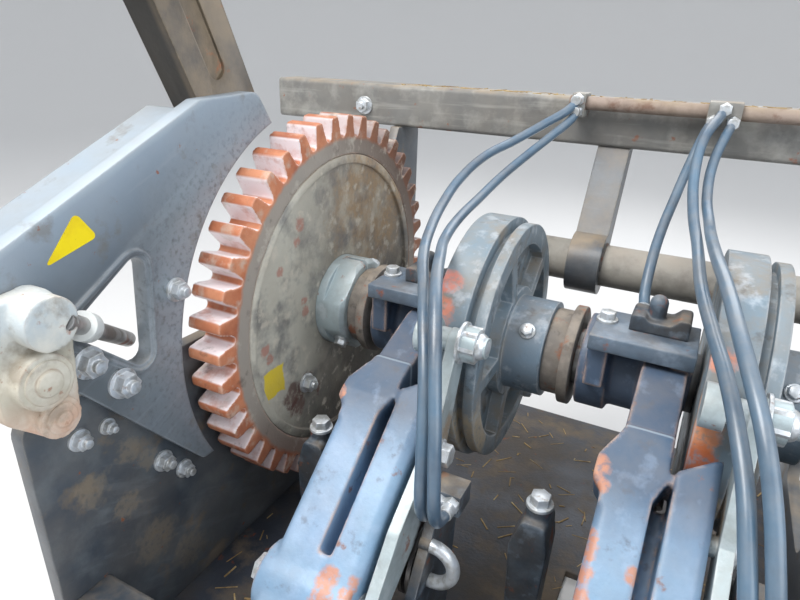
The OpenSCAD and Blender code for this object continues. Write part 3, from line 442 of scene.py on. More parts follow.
class Finish:
    """A material built up in coats; each coat covers what lies under it where its mask is 1."""

    def __init__(self, name, colour, roughness, metallic=0.0, coat=0.0):
        self.material = bpy.data.materials.new(name)
        self.material.use_nodes = True
        self.tree = self.material.node_tree
        self.shader = next(n for n in self.tree.nodes if n.type == "BSDF_PRINCIPLED")
        self.shader.inputs["Metallic"].default_value = metallic
        self.shader.inputs["Coat Weight"].default_value = coat
        self.shader.inputs["Coat Roughness"].default_value = 0.25
        self.colour = linear(colour)
        self.roughness = roughness
        self.normal = None

    def effect(self, group, output="Mask", strength=1.0, **values):
        """Places a shared group with its own values and gives one of its outputs."""
        node = self.tree.nodes.new("ShaderNodeGroup")
        node.node_tree = bpy.data.node_groups[group]
        for label, value in values.items():
            node.inputs[label].default_value = value
        if strength == 1:
            return node.outputs[output]
        return calculate(self.tree, "MULTIPLY", node.outputs[output], strength)

    def mixed(self, kind, mask, under, over):
        """The mix of two colours or values by a mask."""
        node = self.tree.nodes.new("ShaderNodeMix")
        node.data_type = kind
        first, result = MIX_SOCKETS[kind]
        self.tree.links.new(mask, node.inputs[0])
        for socket, part in ((node.inputs[first], under), (node.inputs[first + 1], over)):
            if isinstance(part, bpy.types.NodeSocket):
                self.tree.links.new(part, socket)
            else:
                socket.default_value = part
        return node.outputs[result]

    def cover(self, mask, colour, roughness=None):
        """Adds one coat."""
        self.colour = self.mixed("RGBA", mask, self.colour, linear(colour))
        if roughness is not None:
            self.roughness = self.mixed("FLOAT", mask, self.roughness, roughness)

    def patches(self, colour, scale, threshold, softness=0.05, strength=1.0, roughness=None, offset=0.0):
        """Adds ragged patches of one colour; the offset sets one coat's noise apart from another's."""
        mask = self.effect("Ragged Patches", strength=strength, Scale=scale, Threshold=threshold,
                           Softness=softness, Offset=(offset, offset, offset))
        self.cover(mask, colour, roughness)

    def wear(self, colour, radius, strength=1.0, scale=60.0, reach=0.1, roughness=None):
        """Rounds the edges and wears the coats off along them."""
        node = self.tree.nodes.new("ShaderNodeGroup")
        node.node_tree = bpy.data.node_groups["Edge Wear"]
        for label, value in (("Radius", radius), ("Scale", scale), ("Reach", reach)):
            node.inputs[label].default_value = value
        self.cover(calculate(self.tree, "MULTIPLY", node.outputs["Mask"], strength), colour, roughness)
        self.normal = node.outputs["Normal"]

    def dusty(self, colour, amount, film, scale=25.0):
        """Lets dust settle."""
        self.cover(self.effect("Settled Dust", Amount=amount, Film=film, Scale=scale), colour, 0.9)

    def spot(self, centre, radius, colour, ragged=0.01, strength=1.0):
        """Adds a dab of paint at a point of the frame; the radius is in millimetres."""
        mask = self.effect("Ragged Spot", strength=strength, Centre=tuple(centre), Radius=radius * MM,
                           Ragged=ragged)
        self.cover(mask, colour)

    def shade(self, colour, direction, low, high, strength=1.0, roughness=None, ragged=0.02):
        """Adds a coat that grows in a direction, between two distances from the gear's centre."""
        mask = self.effect("Growing Shade", strength=strength, Centre=tuple(ORIGIN), Direction=direction,
                           Low=low * MM, High=high * MM, Ragged=ragged)
        self.cover(mask, colour, roughness)

    def scuffs(self, colour, turn, stretch, strength, threshold=0.6, roughness=None):
        """Adds soft scuffs that run one way."""
        mask = self.effect("Drawn Scuffs", strength=strength, Turn=turn, Stretch=stretch,
                           Threshold=threshold)
        self.cover(mask, colour, roughness)

    def done(self, grain=400.0, dents=0.5, relief=0.25, depth=0.0006):
        """Connects the coats and the grain, and gives the material."""
        for part, label in ((self.colour, "Base Color"), (self.roughness, "Roughness")):
            if isinstance(part, bpy.types.NodeSocket):
                self.tree.links.new(part, self.shader.inputs[label])
            else:
                self.shader.inputs[label].default_value = part
        bump = self.tree.nodes.new("ShaderNodeBump")
        bump.inputs["Strength"].default_value = relief
        bump.inputs["Distance"].default_value = depth
        height = self.effect("Surface Grain", "Height", Scale=grain, Dents=dents)
        self.tree.links.new(height, bump.inputs["Height"])
        if self.normal:
            self.tree.links.new(self.normal, bump.inputs["Normal"])
        self.tree.links.new(bump.outputs["Normal"], self.shader.inputs["Normal"])
        return self.material


# Each finish starts with its base colour and adds coats. Patches are given by their colour, the scale of
# their noise, the level over which they show and how soft their edge is; shades by their colour, direction,
# and the two distances between which they grow; scuffs by their colour, turn and stretch.

# Dried dirt on the left side plate: place across the shaft and upwards, and radius
PLATE_DIRT = [
    (-252, -48, 11.2), (-236, -66, 9.6), (-286, -62, 14.4), (-262, -96, 12.8), (-240, -150, 20.8),
    (-206, -190, 19.2),
]


def slate_paint(colours):
    """Dark worn paint of the plates, with scuffs, dust and small rust spots."""
    finish = Finish("Slate paint", colours.slate, roughness=0.42, coat=0.25)
    finish.patches((0.21, 0.24, 0.28), 12, 0.50, 0.14, strength=0.8)
    finish.patches((0.42, 0.45, 0.47), 26, 0.58, 0.10, strength=0.45, roughness=0.55, offset=1.3)
    finish.scuffs((0.46, 0.49, 0.52), (0.45, 0, 0), (18, 16, 90), strength=0.22, threshold=0.56,
                  roughness=0.5)
    finish.patches((0.47, 0.41, 0.33), 30, 0.62, 0.05, strength=0.6, roughness=0.9, offset=6.2)
    for across, upwards, radius in PLATE_DIRT:
        finish.spot(at(LEFT_PLATE_FACE, across, upwards), radius, (0.50, 0.46, 0.40), ragged=0.03,
                    strength=0.5)
    finish.patches(colours.rust, 70, 0.69, 0.02, strength=0.85, roughness=0.85, offset=3.1)
    finish.wear((0.52, 0.52, 0.50), 0.0022, strength=0.6, scale=45)
    finish.dusty(colours.dust, amount=0.7, film=0.16, scale=20)
    return finish.done(grain=350, dents=0.8, relief=0.22)


# Directions out of and into the arm plate across its top edge, and the edge's distance from the gear's
# centre
ARM_EDGE_OUT = (0, -0.397, 0.918)
ARM_EDGE_IN = (0, 0.397, -0.918)
ARM_EDGE = 254
# Radius of the arm plate's edge round the gear, and the width of the painted highlight band along it
ARM_WRAP = 200
ARM_HIGHLIGHT_BAND = 32


def arm_paint(colours):
    """Smooth slate paint of the arm plate, with a painted sheen towards its rolled top edge and a painted
    highlight along its edge round the gear.
    """
    finish = Finish("Arm paint", (0.38, 0.41, 0.43), roughness=0.36, coat=0.3)
    finish.patches((0.30, 0.33, 0.37), 9, 0.50, 0.16, strength=0.7)
    # Painted highlight: a pale band along the plate's edge round the gear
    finish.spot(at(ARM_PLATE_FACE, 0, 0), ARM_WRAP + ARM_HIGHLIGHT_BAND, (0.68, 0.73, 0.77), ragged=0.02,
                strength=0.9)
    # Painted sheen that grows towards the rolled top edge, then a painted highlight strip on the edge itself
    finish.shade((0.56, 0.62, 0.68), ARM_EDGE_OUT, ARM_EDGE - 62, ARM_EDGE + 2, strength=0.95,
                 roughness=0.42)
    finish.shade((0.66, 0.71, 0.75), ARM_EDGE_OUT, ARM_EDGE - 5, ARM_EDGE + 1, strength=0.7,
                 roughness=0.45, ragged=0.004)
    finish.shade((0.40, 0.44, 0.48), ARM_EDGE_IN, -118, -60, strength=0.7, roughness=0.5)
    finish.scuffs((0.58, 0.62, 0.66), (-0.41, 0, 0), (14, 11, 120), strength=0.25, threshold=0.56,
                  roughness=0.4)
    finish.patches((0.42, 0.39, 0.34), 34, 0.64, 0.05, strength=0.5, roughness=0.9, offset=6.2)
    finish.patches(colours.rust, 80, 0.70, 0.02, strength=0.8, roughness=0.85, offset=3.1)
    finish.wear((0.60, 0.63, 0.66), 0.003, strength=0.75, scale=40, reach=0.08, roughness=0.4)
    finish.dusty(colours.dust, amount=0.22, film=0.07, scale=26)
    return finish.done(grain=320, dents=0.8, relief=0.16)


def deck_paint(colours):
    """Dark deck, mostly under tan dirt."""
    finish = Finish("Deck paint", (0.17, 0.19, 0.23), roughness=0.5)
    finish.patches((0.25, 0.27, 0.31), 10, 0.5, 0.14, strength=0.8)
    finish.patches((0.33, 0.29, 0.24), 9, 0.52, 0.12, strength=0.8, roughness=0.9, offset=2.2)
    finish.patches((0.47, 0.41, 0.33), 26, 0.60, 0.09, strength=0.6, roughness=0.95, offset=4.0)
    finish.patches(colours.rust, 60, 0.68, 0.03, strength=0.6, roughness=0.9, offset=5.0)
    finish.wear((0.45, 0.44, 0.42), 0.002, strength=0.5)
    return finish.done(grain=260, dents=1.2, relief=0.5, depth=0.001)


def brace_paint(colours):
    """Brace with its paint worn to a dusty brown on the flat, and painted shade darkening its flanges."""
    finish = Finish("Brace paint", (0.29, 0.26, 0.22), roughness=0.5)
    finish.patches((0.37, 0.32, 0.25), 14, 0.46, 0.12, strength=0.85)
    finish.patches((0.13, 0.13, 0.14), 22, 0.58, 0.08, strength=0.7, roughness=0.45, offset=2.0)
    finish.patches(colours.rust, 55, 0.66, 0.03, strength=0.6, roughness=0.9, offset=3.0)
    finish.wear((0.50, 0.45, 0.38), 0.002, strength=0.6)
    finish.dusty(colours.dust, amount=0.3, film=0.10)
    # Painted shade: the flanges are darkened because they face away from the light
    finish.shade((0.09, 0.09, 0.08), (-1, 0, 0), 47, 51, strength=0.85, roughness=0.5, ragged=0.004)
    return finish.done(grain=300, dents=0.8, relief=0.3)


# Rusty places on the frames: place and radius
FRAME_RUST = [
    ((92, -154, -4), 5), ((146, -252, -82), 8), ((148, -263, -90), 8), ((167, -250, -80), 6),
    ((161, -257, -86), 5), ((112, -286, -106), 7), ((293, -150, 0), 9), ((296, -159, -8), 8),
    ((299, -184, -27), 6), ((299, -193, -34), 7), ((300, -203, -42), 8), ((300, -214, -51), 8),
    ((330, -197, -38), 6), ((366, -225, -60), 6), ((352, -284, -104), 8),
]
# Where the machined step runs across the frames' upper arms; a pale line is painted along it as a highlight
ARM_STEP = -114


def frame_paint(colours):
    """Blue-grey paint of the castings, worn on its edges to pale rusty iron that is also a painted highlight
    along them.
    """
    finish = Finish("Frame paint", colours.frame_blue, roughness=0.46, coat=0.12)
    finish.patches((0.38, 0.47, 0.58), 14, 0.50, 0.14, strength=0.65)
    finish.patches((0.58, 0.68, 0.80), 20, 0.56, 0.12, strength=0.55, roughness=0.4, offset=1.0)
    finish.shade((0.21, 0.30, 0.40), (0, 1, 0.25), -198, -154, strength=0.92, roughness=0.55, ragged=0.03)
    # Painted highlight: a pale line along the machined step's edge, then the arm's darker tone again past it
    finish.shade((0.58, 0.65, 0.71), (0, 1, 0), ARM_STEP - 3.5, ARM_STEP - 2.5, strength=0.7,
                 roughness=0.4, ragged=0.002)
    finish.shade((0.22, 0.30, 0.40), (0, 1, 0), ARM_STEP - 0.5, ARM_STEP + 0.5, strength=0.95,
                 roughness=0.55, ragged=0.002)
    finish.shade((0.30, 0.36, 0.44), (0, 1, 0), -60, -30, strength=0.8, roughness=0.5)
    finish.scuffs((0.60, 0.70, 0.82), (0.67, 0, 0), (60, 9, 60), strength=0.2, threshold=0.56,
                  roughness=0.4)
    finish.patches((0.30, 0.32, 0.36), 60, 0.64, 0.04, strength=0.5, roughness=0.7, offset=2.0)
    finish.patches((0.50, 0.32, 0.23), 50, 0.68, 0.03, strength=0.8, roughness=0.85, offset=7.0)
    for place, radius in FRAME_RUST:
        finish.spot(at(*place), radius, (0.72, 0.47, 0.34), ragged=0.016, strength=0.85)
    # The pale edge wear is partly real wear and partly a painted highlight along the edges
    finish.wear((0.78, 0.66, 0.58), 0.004, strength=0.9, scale=26, reach=0.05, roughness=0.6)
    finish.dusty(colours.dust, amount=0.12, film=0.05, scale=30)
    return finish.done(grain=240, dents=1.0, relief=0.32, depth=0.0009)


def cap_paint(colours):
    """Darker grey-blue of the plates on top of the frames."""
    finish = Finish("Cap paint", (0.34, 0.41, 0.48), roughness=0.45, coat=0.2)
    finish.patches((0.25, 0.29, 0.34), 26, 0.50, 0.12, strength=0.7)
    finish.patches((0.52, 0.59, 0.66), 34, 0.58, 0.08, strength=0.6, roughness=0.4, offset=1.0)
    finish.patches(colours.rust, 50, 0.66, 0.03, strength=0.8, roughness=0.85, offset=2.0)
    finish.wear((0.62, 0.62, 0.62), 0.002, strength=0.8, scale=40, reach=0.08)
    finish.dusty(colours.dust, amount=0.22, film=0.08, scale=34)
    return finish.done(grain=300, dents=1.0, relief=0.35, depth=0.0008)


# Height of the gear's teeth, and the radius of their roots
TOOTH_HEIGHT = 20
GEAR_ROOT = (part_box("gear_ring")[1].z - ORIGIN.z) / MM - TOOTH_HEIGHT


def gear_rust(colours):
    """Rusty red teeth with polished pale flanks, on a brown-grey ring."""
    finish = Finish("Gear rust", colours.gear_red, roughness=0.6)
    centre = tuple(ORIGIN)
    root = GEAR_ROOT * MM
    finish.patches((0.84, 0.58, 0.44), 26, 0.50, 0.10, strength=0.8)
    finish.patches((0.57, 0.32, 0.24), 20, 0.57, 0.09, strength=0.7, roughness=0.75, offset=1.7)
    flanks = finish.effect("Gear Faces", "Flank", 0.92, Centre=centre, Root=root)
    finish.cover(flanks, (0.96, 0.92, 0.93), roughness=0.4)
    finish.patches((0.76, 0.47, 0.34), 48, 0.58, 0.07, strength=0.6, roughness=0.6, offset=5.2)
    ring = finish.effect("Gear Faces", "Ring", 0.92, Centre=centre, Root=root)
    finish.cover(ring, (0.60, 0.59, 0.56), roughness=0.6)
    finish.shade((0.32, 0.22, 0.16), (0, 0.75, 0.66), 70, 175, strength=0.85, roughness=0.7)
    finish.shade((0.45, 0.25, 0.20), (0, -0.3, -0.95), 95, 185, strength=0.65, roughness=0.7)
    finish.patches((0.78, 0.75, 0.70), 50, 0.61, 0.06, strength=0.55, roughness=0.42, offset=2.6)
    finish.patches((0.26, 0.20, 0.18), 50, 0.65, 0.05, strength=0.5, roughness=0.7, offset=4.4)
    finish.wear((0.90, 0.72, 0.62), 0.0028, strength=0.65, scale=36, reach=0.08, roughness=0.4)
    return finish.done(grain=300, dents=1.0, relief=0.4, depth=0.0008)


# The web's face, as its place along the shaft
WEB_FACE = -4
# Faded pink and maroon dabs on the web: place across the shaft and upwards, and radius
WEB_PINK = [
    (-69, 98, 7), (-74, 84, 6), (-101, 63, 5), (-67, 22, 5), (-66, 10, 6), (-128, -6, 6), (-122, -16, 5),
]
WEB_MAROON = [(-93, -72, 13), (-84, -90, 12), (-48, -85, 8), (-69, -69, 13)]
# The tan half of the web, and its square of yellow paint: place across the shaft and upwards, and radius or
# half width
WEB_TAN = (62, 96, 78)
WEB_SQUARE = (-118, -44, 15)


def web_iron(colours):
    """Mottled web: grey-brown, tan towards the top, with red primer dabs low down and a painted shadow on
    its lower right beside the hub.
    """
    finish = Finish("Web iron", colours.web_brown, roughness=0.68)
    finish.shade((0.80, 0.79, 0.74), (0, -1, 0), 0, 85, strength=0.88, ragged=0.06)
    across, upwards, radius = WEB_TAN
    finish.spot(at(WEB_FACE, across, upwards), radius, (0.66, 0.55, 0.42), ragged=0.08, strength=0.85)
    finish.patches((0.74, 0.72, 0.67), 34, 0.54, 0.08, strength=0.6)
    finish.patches((0.36, 0.37, 0.39), 24, 0.56, 0.08, strength=0.7, roughness=0.6, offset=1.3)
    # Painted shadow: dark towards the lower right, below and beside the hub
    finish.shade((0.14, 0.14, 0.13), (0, 0.45, -0.89), 14, 88, strength=0.85, ragged=0.07)
    finish.patches((0.84, 0.81, 0.75), 62, 0.61, 0.05, strength=0.6, roughness=0.7, offset=3.3)
    for across, upwards, radius in WEB_PINK:
        finish.spot(at(WEB_FACE, across, upwards), radius, (0.70, 0.44, 0.38), ragged=0.014, strength=0.7)
    for across, upwards, radius in WEB_MAROON:
        finish.spot(at(WEB_FACE, across, upwards), radius, (0.34, 0.15, 0.14), ragged=0.03, strength=0.75)
    across, upwards, half = WEB_SQUARE
    square = finish.effect("Ragged Square", strength=0.95, Centre=tuple(at(WEB_FACE, across, upwards)),
                           Half=half * MM, Ragged=0.009)
    finish.cover(square, (0.92, 0.81, 0.16))
    finish.wear((0.60, 0.54, 0.50), 0.002, strength=0.7)
    finish.dusty(colours.dust, amount=0.4, film=0.16, scale=40)
    return finish.done(grain=280, dents=1.2, relief=0.5, depth=0.0008)


# Dirt on a unit's stripper arm: distance along the shaft in the unit, place across it and upwards, and
# radius
ARM_DIRT = (177, -138, -24, 20)


def hub_steel(colours):
    """Pale blue-grey of the gear's hub and the stripper arms."""
    finish = Finish("Hub steel", (0.68, 0.74, 0.76), roughness=0.42, metallic=0.25)
    finish.patches((0.52, 0.55, 0.56), 36, 0.54, 0.10, strength=0.6)
    finish.patches((0.78, 0.82, 0.84), 50, 0.58, 0.06, strength=0.6, roughness=0.3, offset=1.0)
    finish.patches(colours.rust, 60, 0.67, 0.03, strength=0.7, roughness=0.8, offset=2.0)
    along, across, upwards, radius = ARM_DIRT
    for unit in UNITS:
        finish.spot(at(unit_x(unit) + along, across, upwards), radius, (0.60, 0.51, 0.41), ragged=0.02,
                    strength=0.8)
    finish.wear((0.84, 0.86, 0.86), 0.0015, strength=0.7)
    finish.dusty(colours.dust, amount=0.3, film=0.12)
    return finish.done(grain=400, dents=0.8, relief=0.3)


def collar_iron(colours):
    """Brown-grey of the sleeves."""
    finish = Finish("Collar iron", (0.42, 0.40, 0.38), roughness=0.6)
    finish.patches((0.56, 0.53, 0.50), 44, 0.52, 0.08, strength=0.7)
    finish.patches(colours.rust, 50, 0.60, 0.04, strength=0.7, roughness=0.85, offset=1.0)
    finish.patches((0.20, 0.19, 0.20), 60, 0.62, 0.04, strength=0.7, roughness=0.6, offset=2.0)
    finish.wear((0.66, 0.62, 0.60), 0.0015, strength=0.7)
    finish.dusty(colours.dust, amount=0.4, film=0.15)
    return finish.done(grain=320, dents=1.0, relief=0.4)


# Stations of a disc inside its unit: the middle of the band, the dirty face, and where the hub starts
DISC_BAND = 152
DISC_FACE = 186
DISC_HUB = 190
# Dirt on a disc's face: place across the shaft and upwards, and radius
DISC_DIRT = (-92, -52, 34)
# Paint marks on the discs' bands; each row is the disc's unit, the place across the shaft and upwards, the
# radius and the colour
DISC_MARKS = [
    (1, (-82, 79), 11, (0.82, 0.46, 0.40)), (1, (-97, 60), 12, (0.84, 0.50, 0.40)),
    (1, (-106, 42), 8, (0.88, 0.66, 0.50)), (2, (-92, 68), 10, (0.84, 0.54, 0.44)),
    (2, (-106, 40), 10, (0.86, 0.66, 0.54)), (2, (-112, 20), 12, (0.86, 0.56, 0.38)),
    (2, (-113, -2), 15, (0.78, 0.42, 0.24)), (2, (-112, -24), 14, (0.62, 0.34, 0.20)),
]


def disc_iron(colours, unit):
    """Blue-grey band and a tan, mottled face, with dabs of faded paint."""
    finish = Finish(f"Disc iron {unit}", colours.disc_grey, roughness=0.5, metallic=0.2)
    finish.patches((0.44, 0.50, 0.54), 16, 0.50, 0.12, strength=0.7)
    finish.patches((0.56, 0.50, 0.42), 24, 0.56, 0.08, strength=0.65, roughness=0.8, offset=1.0)
    hub = unit_x(unit) + DISC_HUB
    finish.shade((0.41, 0.49, 0.56), (1, 0, 0), hub, hub + 3, strength=0.75, roughness=0.45, ragged=0.004)
    across, upwards, radius = DISC_DIRT
    finish.spot(at(unit_x(unit) + DISC_FACE, across, upwards), radius, (0.74, 0.67, 0.56), ragged=0.04,
                strength=0.8)
    finish.patches((0.27, 0.26, 0.26), 48, 0.64, 0.05, strength=0.6, roughness=0.7, offset=2.0)
    finish.patches((0.68, 0.72, 0.76), 60, 0.60, 0.06, strength=0.6, roughness=0.4, offset=3.0)
    for owner, (across, upwards), radius, colour in DISC_MARKS:
        if owner == unit:
            finish.spot(at(unit_x(unit) + DISC_BAND, across, upwards), radius, colour, ragged=0.018,
                        strength=0.85)
    finish.wear((0.72, 0.74, 0.76), 0.0025, strength=0.8, scale=40, reach=0.08, roughness=0.4)
    finish.dusty(colours.dust, amount=0.28, film=0.12, scale=30)
    return finish.done(grain=300, dents=1.0, relief=0.4)


def tube_paint(colours):
    """Dusty taupe tube."""
    finish = Finish("Tube paint", colours.tube_taupe, roughness=0.65)
    finish.patches((0.64, 0.62, 0.59), 24, 0.50, 0.12, strength=0.7)
    finish.patches((0.35, 0.33, 0.32), 40, 0.60, 0.08, strength=0.5, roughness=0.7, offset=1.0)
    finish.patches(colours.rust, 46, 0.66, 0.04, strength=0.4, roughness=0.9, offset=2.0)
    finish.wear((0.60, 0.56, 0.52), 0.0015, strength=0.5)
    finish.dusty((0.62, 0.59, 0.55), amount=0.7, film=0.25)
    return finish.done(grain=300, dents=0.8, relief=0.3)


def rod_rust(colours):
    """Rusty pinkish rod."""
    finish = Finish("Rod rust", (0.47, 0.41, 0.37), roughness=0.7)
    finish.patches((0.60, 0.54, 0.50), 40, 0.50, 0.10, strength=0.8)
    finish.patches((0.40, 0.27, 0.21), 60, 0.60, 0.06, strength=0.7, roughness=0.85, offset=1.0)
    finish.wear((0.66, 0.58, 0.54), 0.001, strength=0.5)
    finish.dusty(colours.dust, amount=0.6, film=0.2)
    return finish.done(grain=400, dents=0.8, relief=0.4)


def beam_paint(colours):
    """Dusty grey beam with worn bright patches."""
    finish = Finish("Beam paint", colours.beam_grey, roughness=0.55)
    finish.patches((0.38, 0.38, 0.38), 16, 0.50, 0.12, strength=0.7)
    finish.patches((0.64, 0.64, 0.62), 26, 0.58, 0.08, strength=0.6, roughness=0.45, offset=1.0)
    finish.patches(colours.rust, 60, 0.67, 0.03, strength=0.7, roughness=0.9, offset=2.0)
    finish.scuffs((0.66, 0.66, 0.64), (0, 0, 0), (7, 90, 90), strength=0.4, threshold=0.56, roughness=0.45)
    finish.wear((0.70, 0.68, 0.64), 0.003, strength=0.6)
    finish.dusty(colours.dust, amount=0.7, film=0.12)
    return finish.done(grain=300, dents=0.8, relief=0.3)


def cream_paint(colours):
    """Faded cream casting with a painted highlight on its upper part and pinkish rust low down."""
    finish = Finish("Cream casting", colours.cast_cream, roughness=0.6)
    # Painted highlight: paler and bluer towards the top, as if lit by the sky
    finish.shade((0.74, 0.79, 0.82), (0, 0, 1), 70, 100, strength=0.85, roughness=0.45)
    finish.shade((0.80, 0.64, 0.55), (0, 0, -1), -58, -28, strength=0.8, roughness=0.8, ragged=0.03)
    finish.patches((0.88, 0.87, 0.83), 40, 0.54, 0.09, strength=0.6)
    finish.patches((0.54, 0.50, 0.45), 50, 0.60, 0.06, strength=0.6, roughness=0.75, offset=1.0)
    finish.patches(colours.rust, 70, 0.66, 0.03, strength=0.8, roughness=0.9, offset=2.0)
    finish.wear((0.62, 0.50, 0.42), 0.002, strength=0.6)
    finish.dusty(colours.dust, amount=0.4, film=0.12)
    return finish.done(grain=260, dents=1.2, relief=0.6, depth=0.001)


def zinc_steel(colours):
    """Pale zinc of bolts, nuts and fittings."""
    finish = Finish("Zinc steel", colours.zinc, roughness=0.32, metallic=0.55)
    finish.patches((0.62, 0.62, 0.60), 120, 0.54, 0.08, strength=0.7)
    finish.patches((0.55, 0.42, 0.32), 160, 0.64, 0.04, strength=0.6, roughness=0.7, offset=1.0)
    finish.wear((0.90, 0.90, 0.90), 0.0006, strength=0.6, scale=120)
    return finish.done(grain=700, dents=0.6, relief=0.2, depth=0.0003)


def machined_steel(colours):
    """Turned steel of the shaft, spindles and discs, with light rust."""
    finish = Finish("Machined steel", (0.62, 0.62, 0.62), roughness=0.36, metallic=0.8)
    finish.patches((0.46, 0.42, 0.38), 30, 0.54, 0.08, strength=0.7, roughness=0.55)
    finish.patches(colours.rust, 60, 0.64, 0.04, strength=0.7, roughness=0.85, offset=1.0)
    finish.scuffs((0.80, 0.80, 0.80), (0, 0, 0), (300, 20, 20), strength=0.4, threshold=0.56,
                  roughness=0.28)
    finish.wear((0.80, 0.80, 0.80), 0.001, strength=0.6)
    return finish.done(grain=500, dents=0.5, relief=0.2, depth=0.0004)


def dark_iron(colours):
    """Dark painted small castings."""
    finish = Finish("Dark iron", (0.24, 0.29, 0.34), roughness=0.5)
    finish.patches((0.14, 0.16, 0.19), 40, 0.50, 0.10, strength=0.8)
    finish.patches((0.42, 0.48, 0.54), 60, 0.60, 0.06, strength=0.6, roughness=0.45, offset=1.0)
    finish.patches(colours.rust, 60, 0.64, 0.04, strength=0.7, roughness=0.85, offset=2.0)
    finish.wear((0.50, 0.52, 0.54), 0.0018, strength=0.7)
    finish.dusty(colours.dust, amount=0.5, film=0.14)
    return finish.done(grain=350, dents=1.0, relief=0.4)


def hose_rubber(colours):
    """Black hose, coloured blue-grey as a painted sky reflection, with a little dust."""
    # The blue-grey base and its lighter patches are a painted reflection on black rubber
    finish = Finish("Hose rubber", (0.28, 0.37, 0.45), roughness=0.32, coat=0.5)
    finish.patches((0.37, 0.48, 0.57), 12, 0.50, 0.16, strength=0.7, roughness=0.38)
    finish.patches((0.21, 0.26, 0.33), 24, 0.58, 0.12, strength=0.5, roughness=0.4, offset=1.0)
    finish.dusty(colours.dust, amount=0.20, film=0.05, scale=60)
    return finish.done(grain=900, dents=0.5, relief=0.15, depth=0.0003)


def collar_white(colours):
    """Dull white of the adjusting rod's collar."""
    finish = Finish("Collar white", (0.84, 0.86, 0.86), roughness=0.45)
    finish.patches((0.66, 0.66, 0.64), 90, 0.56, 0.08, strength=0.6)
    finish.dusty(colours.dust, amount=0.3, film=0.08, scale=60)
    return finish.done(grain=700, dents=0.5, relief=0.15, depth=0.0003)


def weld_metal(colours):
    """Dull grey-brown weld metal."""
    finish = Finish("Weld metal", (0.33, 0.32, 0.31), roughness=0.5, metallic=0.3)
    finish.patches((0.46, 0.43, 0.40), 120, 0.52, 0.10, strength=0.7)
    finish.patches(colours.rust, 90, 0.60, 0.05, strength=0.7, roughness=0.85, offset=1.0)
    return finish.done(grain=600, dents=0.6, relief=0.3, depth=0.0004)


def triangle_paint(colours):
    """Plain yellow of the blank triangle, slightly faded."""
    finish = Finish("Triangle yellow", colours.triangle_yellow, roughness=0.45, coat=0.2)
    finish.patches((0.92, 0.80, 0.10), 60, 0.54, 0.10, strength=0.6)
    finish.patches((0.60, 0.52, 0.20), 150, 0.69, 0.03, strength=0.5, roughness=0.7, offset=1.0)
    return finish.done(grain=600, dents=0.5, relief=0.15, depth=0.0003)


def straw(colours):
    """Dry straw."""
    finish = Finish("Straw", (0.66, 0.56, 0.38), roughness=0.8)
    finish.patches((0.46, 0.37, 0.24), 60, 0.50, 0.10, strength=0.9)
    finish.patches((0.80, 0.72, 0.54), 90, 0.60, 0.08, strength=0.8, roughness=0.7, offset=1.0)
    return finish.done(grain=900, dents=0.5, relief=0.3, depth=0.0002)


# Finish of each material that is built once, and the nodes of the frame that carry it
FINISHES = {
    "slate": (slate_paint, ["side_plate_left", "side_plate_right", "bearing_left", "bearing_right",
                            "front_rail", "tube_hanger"]),
    "arm": (arm_paint, ["side_arm_left"]),
    "deck": (deck_paint, ["deck_plate"]),
    "brace": (brace_paint, ["arm_brace"]),
    "frame": (frame_paint, ["knotter_frame_1", "knotter_frame_2"]),
    "cap": (cap_paint, ["frame_cap_1", "frame_cap_2"]),
    "gear": (gear_rust, ["gear_ring"]),
    "web": (web_iron, ["gear_web"]),
    "hub": (hub_steel, ["gear_hub", "stripper_arm_1", "stripper_arm_2"]),
    "collar": (collar_iron, ["spacer_1", "spacer_2"]),
    "tube": (tube_paint, ["cross_tube"]),
    "rod": (rod_rust, ["hose_rod"]),
    "beam": (beam_paint, ["rear_beam", "rod_clamps"]),
    "cream": (cream_paint, ["rod_bracket"]),
    "machined": (machined_steel, ["drive_shaft", "adjuster_rod", "billhook_1", "billhook_2",
                                  "twine_disc_1", "twine_disc_2"]),
    "dark": (dark_iron, ["grease_block_1", "grease_block_2", "twine_holder_1", "twine_holder_2",
                         "twine_guide_1", "twine_guide_2"]),
    "rubber": (hose_rubber, [hose[0] for hose in HOSES]),
    "zinc": (zinc_steel, []),
    "white": (collar_white, []),
    "weld": (weld_metal, []),
    "triangle": (triangle_paint, []),
    "straw": (straw, []),
}
MATERIALS = {}


def direction_matrix(direction):
    """Turns the upright axis into the given direction."""
    return UP.rotation_difference(Vector(direction)).to_matrix().to_4x4()


def add_cylinder(bm, place, direction, radius, height, segments=32, chamfer=0.0, end_radius=None):
    """A closed cylinder that stands on a place in a direction; sizes in metres."""
    matrix = Matrix.Translation(place) @ direction_matrix(direction) @ Matrix.Translation((0, 0, height / 2))
    made = bmesh.ops.create_cone(
        bm, cap_ends=True, cap_tris=False, segments=segments, radius1=radius,
        radius2=radius if end_radius is None else end_radius, depth=height, matrix=matrix)
    if chamfer:
        top = matrix @ Vector((0, 0, height / 2))
        axis = Vector(direction).normalized()
        rim = [v for v in made["verts"] if abs((v.co - top).dot(axis)) < height * 0.01]
        edges = dict.fromkeys(e for v in rim for e in v.link_edges if e.other_vert(v) in rim)
        bmesh.ops.bevel(bm, geom=list(edges), offset=chamfer, offset_type="OFFSET", segments=2,
                        profile=0.5, affect="EDGES", material=-1)
    return made


# Height of a bolt's washer, and how far a washer and a head reach into what they sit on, in metres
WASHER_HEIGHT = 0.0022
WASHER_SUNK = 0.0006
HEAD_SUNK = 0.0003


